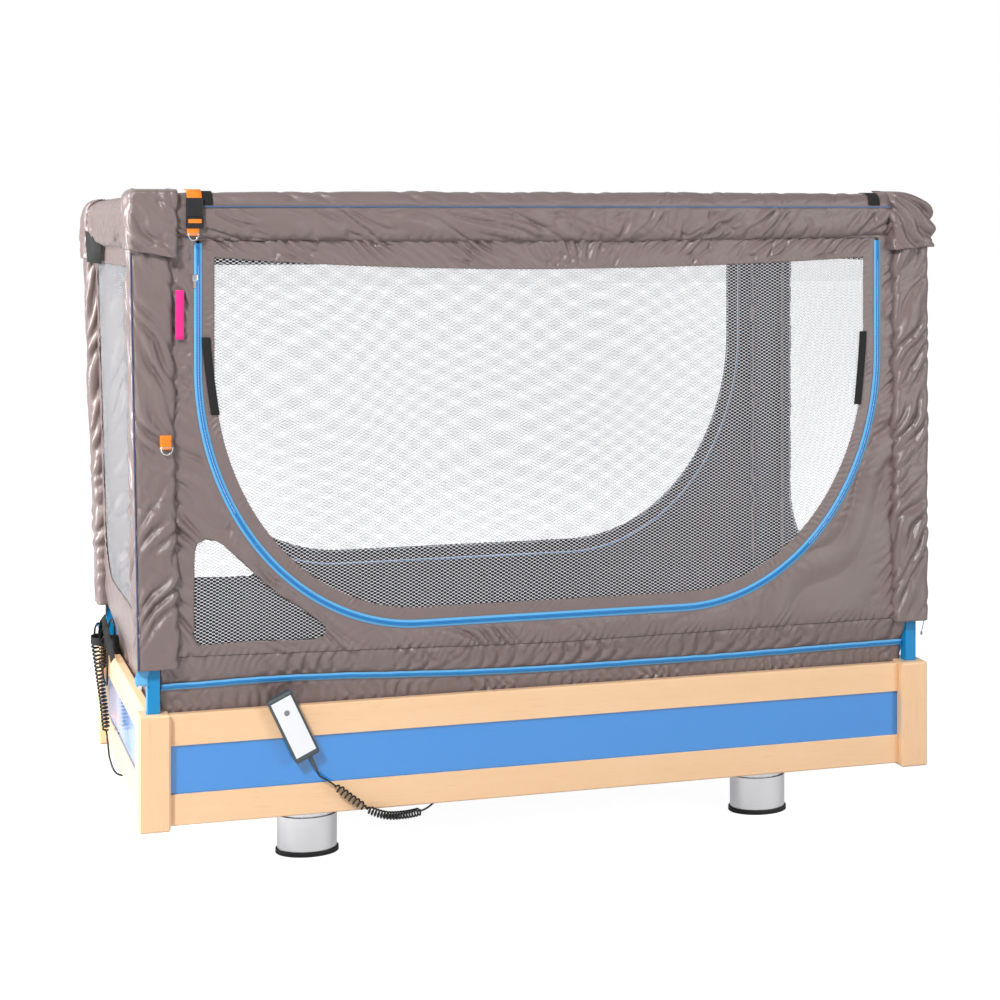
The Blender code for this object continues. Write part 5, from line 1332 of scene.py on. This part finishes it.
for side_name in ("front", "rear"):
    for part, material in (("upper_rail", BEECH["X"]), ("lower_rail", BEECH["X"]), ("panel", PANEL)):
        dress(f"{side_name}_{part}", material)
    dress(f"top_rail_{side_name}", TUBE_PAINT, 0.003)
for name in ("mattress_frame", "backrest", "thigh_rest", "leg_rest"):
    dress(name, STEEL_PAINT, 0.001)
for name in ("drive_unit", "control_box", "mains_plug", "buckle_clip"):
    dress(name, BLACK_PLASTIC, 0.0012)
dress("handset", HANDSET_GREY, 0.0025)
dress("handset_face", WHITE_PLATE, 0.0004)
dress("handset_key", GREY_RING, 0.0004)
dress("zip_slider", CHROME, 0.001)
print("hard pieces dressed")

# %% [markdown]
# ## Trim
# The small things say how the tent is used: an orange strap with a side-release buckle that keeps
# the zip closed, a loop with a ring, hook-and-loop patches that hold the rolled-up door, and a plain
# ribbon tab. Straps are ribbons with a thickness, bent along a line of points.

# %% Trim helpers


def ribbon(name, line, width, finish_, body="bed", thickness=0.0014, across=(1.0, 0.0, 0.0)):
    """A strap along a line, with its width along one direction."""
    line = np.array(line, float)
    step = np.array(across) * width / 2
    points = np.stack([line - step, line - step / 3, line + step / 3, line + step], axis=1)
    made = add_piece(name, points.reshape(-1, 3), grid_faces(len(line), 4, False), [finish_], body)
    solid = made.modifiers.new("thickness", "SOLIDIFY")
    solid.thickness = thickness
    solid.offset = 0.0
    soft_edge = made.modifiers.new("edges", "BEVEL")
    soft_edge.width = thickness / 4
    soft_edge.limit_method = "ANGLE"
    return made


def block(name, low, high, finish_, body="bed", edge=0.0012):
    """A box with soft edges."""
    (x0, y0, z0), (x1, y1, z1) = low, high
    points = [(x, y, z) for z in (z0, z1) for y in (y0, y1) for x in (x0, x1)]
    faces = [(0, 2, 3, 1), (4, 5, 7, 6), (0, 1, 5, 4), (2, 6, 7, 3), (0, 4, 6, 2), (1, 3, 7, 5)]
    made = add_piece(name, points, faces, [finish_], body)
    made.data.shade_flat()
    soft_edge = made.modifiers.new("edges", "BEVEL")
    soft_edge.width = edge
    soft_edge.segments = 3
    return made


def d_ring(name, middle, width, height, body):
    """A flat-topped ring that hangs in the XZ plane."""
    x, y, z = middle
    line = [(x + width / 2, y, z + height / 2)]
    for step in range(13):
        angle = math.pi * step / 12
        line.append((x + width / 2 * math.cos(angle), y, z + height / 2 - height * math.sin(angle)))
    return wire(name, line, 0.0017, CHROME, body, closed=True)


def over_pad(x, start, end, lift, steps=14):
    """Points over the front padded edge between two angles of its section, in degrees."""
    scale = 1 - PAD_DRAW_IN * abs(x / CAP_INNER_X) ** 6
    line = []
    for angle in np.radians(np.linspace(start, end, steps)):
        across = math.copysign(abs(math.cos(angle)) ** (2 / PAD_SQUARENESS), math.cos(angle))
        up = math.sin(angle) ** (2 / PAD_SQUARENESS)
        line.append((x, -TUBE_Y - across * (PAD_DEPTH / 2 * scale + lift),
                     PAD_CENTRE + up * (PAD_HEIGHT / 2 * scale + lift)))
    return line


# %% Strap, loops and patches
STRAP_X = -0.9625
strap_top = over_pad(STRAP_X, 100, 40, 0.008) + [(STRAP_X, -0.5060, 1.7370)]
ribbon("strap_upper", strap_top, 0.038, ORANGE_WEB)
buckle = block("buckle_body", (STRAP_X - 0.021, -0.5116, 1.690), (STRAP_X + 0.021, -0.5000, 1.738),
               BLACK_PLASTIC, edge=0.0022)
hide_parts("corner_strap")
block("buckle_slot_web", (STRAP_X - 0.017, -0.5122, 1.6745), (STRAP_X + 0.017, -0.5100, 1.6845), ORANGE_WEB,
      "clip", 0.0006)
strap_end = [(STRAP_X - 0.004, -0.5075, z) for z in np.linspace(1.668, 1.6425, 6)]
ribbon("strap_lower", strap_end, 0.031, ORANGE_WEB, "clip")
d_ring("strap_ring", (STRAP_X - 0.003, -0.5078, 1.6395), 0.026, 0.016, "clip")
for name, x in (("left", -0.933), ("right", 0.931)):
    ribbon(f"{name}_top_patch", over_pad(x, 104, 15, 0.0035), 0.034, HOOK_LOOP_AND_SHADE)
ribbon("loop_web", [(-1.035, -0.5085, z) for z in np.linspace(1.144, 1.108, 6)], 0.029, ORANGE_WEB,
       thickness=0.003)
d_ring("loop_ring", (-1.0325, -0.5095, 1.1045), 0.030, 0.018, "bed")
tab = [(-0.9975, -0.4895 - 0.0012 * math.sin(7 * share), 1.506 - 0.124 * share)
       for share in np.linspace(0, 1, 12)]
ribbon("ribbon_tab", tab, 0.022, PINK_TAB, thickness=0.0008)
for name, (x0, z0), (x1, z1) in (
        ("left", (-0.930, 1.386), (-0.906, 1.189)), ("right", (0.905, 1.370), (0.888, 1.167))):
    line = [(x0 + (x1 - x0) * share ** 1.3, -WALL_Y - 0.0052, z0 + (z1 - z0) * share)
            for share in np.linspace(0.0, 1.0, 16)]
    ribbon(f"{name}_door_patch", line, 0.022, HOOK_LOOP_AND_SHADE, "front_door")
print("strap, loops, tab and patches made")

# %% [markdown]
# ## Loose ends
# A narrow zip closes the near sleeve of the head end at its corner. Tape ends and a pull hang out
# under the hems, a black sheet under the padded end at the far head corner stands for the black
# lining in the shaded gap there and is partly painted shade, and a tie with loose tails holds the
# mains lead. Two dark screws hold the end board.

# %% Loose ends
corner_line = [(-SLEEVE_X[1] + 0.0035 - lean(-1, -TUBE_Y, z), -SLEEVE_Y[1] + 0.0035, z)
               for z in np.linspace(0.556, 1.60, 120)]
ribbon("corner_zip", corner_line, 0.0048, ZIP_NAVY, across=(0.7071, -0.7071, 0.0))
tail = [(-1.090 + 0.003 * math.sin(7 * share), -0.476 - 0.002 * math.sin(9 * share), 0.562 - 0.048 * share)
        for share in np.linspace(0, 1, 14)]
ribbon("near_tape_tail", tail, 0.031, ZIP_TAPE)
block("near_tail_slider", (-1.0985, -0.4795, 0.506), (-1.0905, -0.4755, 0.518), CHROME,
      edge=0.001)
tail = [(-1.078, 0.4400, 0.560 - 0.042 * share) for share in np.linspace(0, 1, 8)]
ribbon("far_tape_tail", tail, 0.014, ZIP_NAVY, across=(0.0, 1.0, 0.0))
pull = [(1.094 - 0.010 * share, -0.488, 0.562 - 0.040 * share) for share in np.linspace(0, 1, 8)]
wire("right_zip_pull", pull, 0.0012, ZIP_COIL)
block("right_pull_bead", (1.0815, -0.4905, 0.514), (1.0865, -0.4855, 0.524), GREY_RING,
      edge=0.001)
# Painted shade: a black sheet that stands for the black lining in the shaded gap under the padded end at the
# far head corner.
shade_sheet = [(-1.141, 0.395, 1.648), (-1.119, 0.165, 1.612), (-1.119, 0.190, 1.556), (-1.141, 0.330, 1.558)]
thicken(add_piece("far_shade_sheet", shade_sheet, [(0, 1, 2, 3)], [HOOK_LOOP_AND_SHADE]), 0.002, lining=False)
around = np.linspace(0.0, 2 * np.pi, 41)
band = np.column_stack([-1.100 + 0.028 * np.cos(around), 0.372 + 0.038 * np.sin(around), np.full(41, 0.464)])
ribbon("lead_tie", band, 0.022, HOOK_LOOP_AND_SHADE, across=(0.0, 0.0, 1.0))
for index in range(3):
    share = np.linspace(0.0, 1.0, 24)
    reach, rise = 0.10 + 0.035 * index, 0.075 - 0.018 * index
    tail = np.column_stack([-1.108 + 0.012 * share + 0.004 * index, 0.345 - reach * share,
                            0.468 + rise * np.sin(np.pi * share) - 0.012 * index * share])
    ribbon(f"lead_tie_tail_{index + 1}", tail, 0.020, HOOK_LOOP_AND_SHADE, across=(0.6, 0.0, 0.8))
panel_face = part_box("head_panel")[0].x
SCREW_HALF = 0.005
for name, y, z in (("near", -0.272, 0.242), ("far", 0.182, 0.233)):
    low = (panel_face - 0.002, y - SCREW_HALF, z - SCREW_HALF)
    high = (panel_face + 0.001, y + SCREW_HALF, z + SCREW_HALF)
    block(f"{name}_panel_screw", low, high, BLACK_PLASTIC, edge=0.0012)
print("tape ends, flap, tie and screws made")
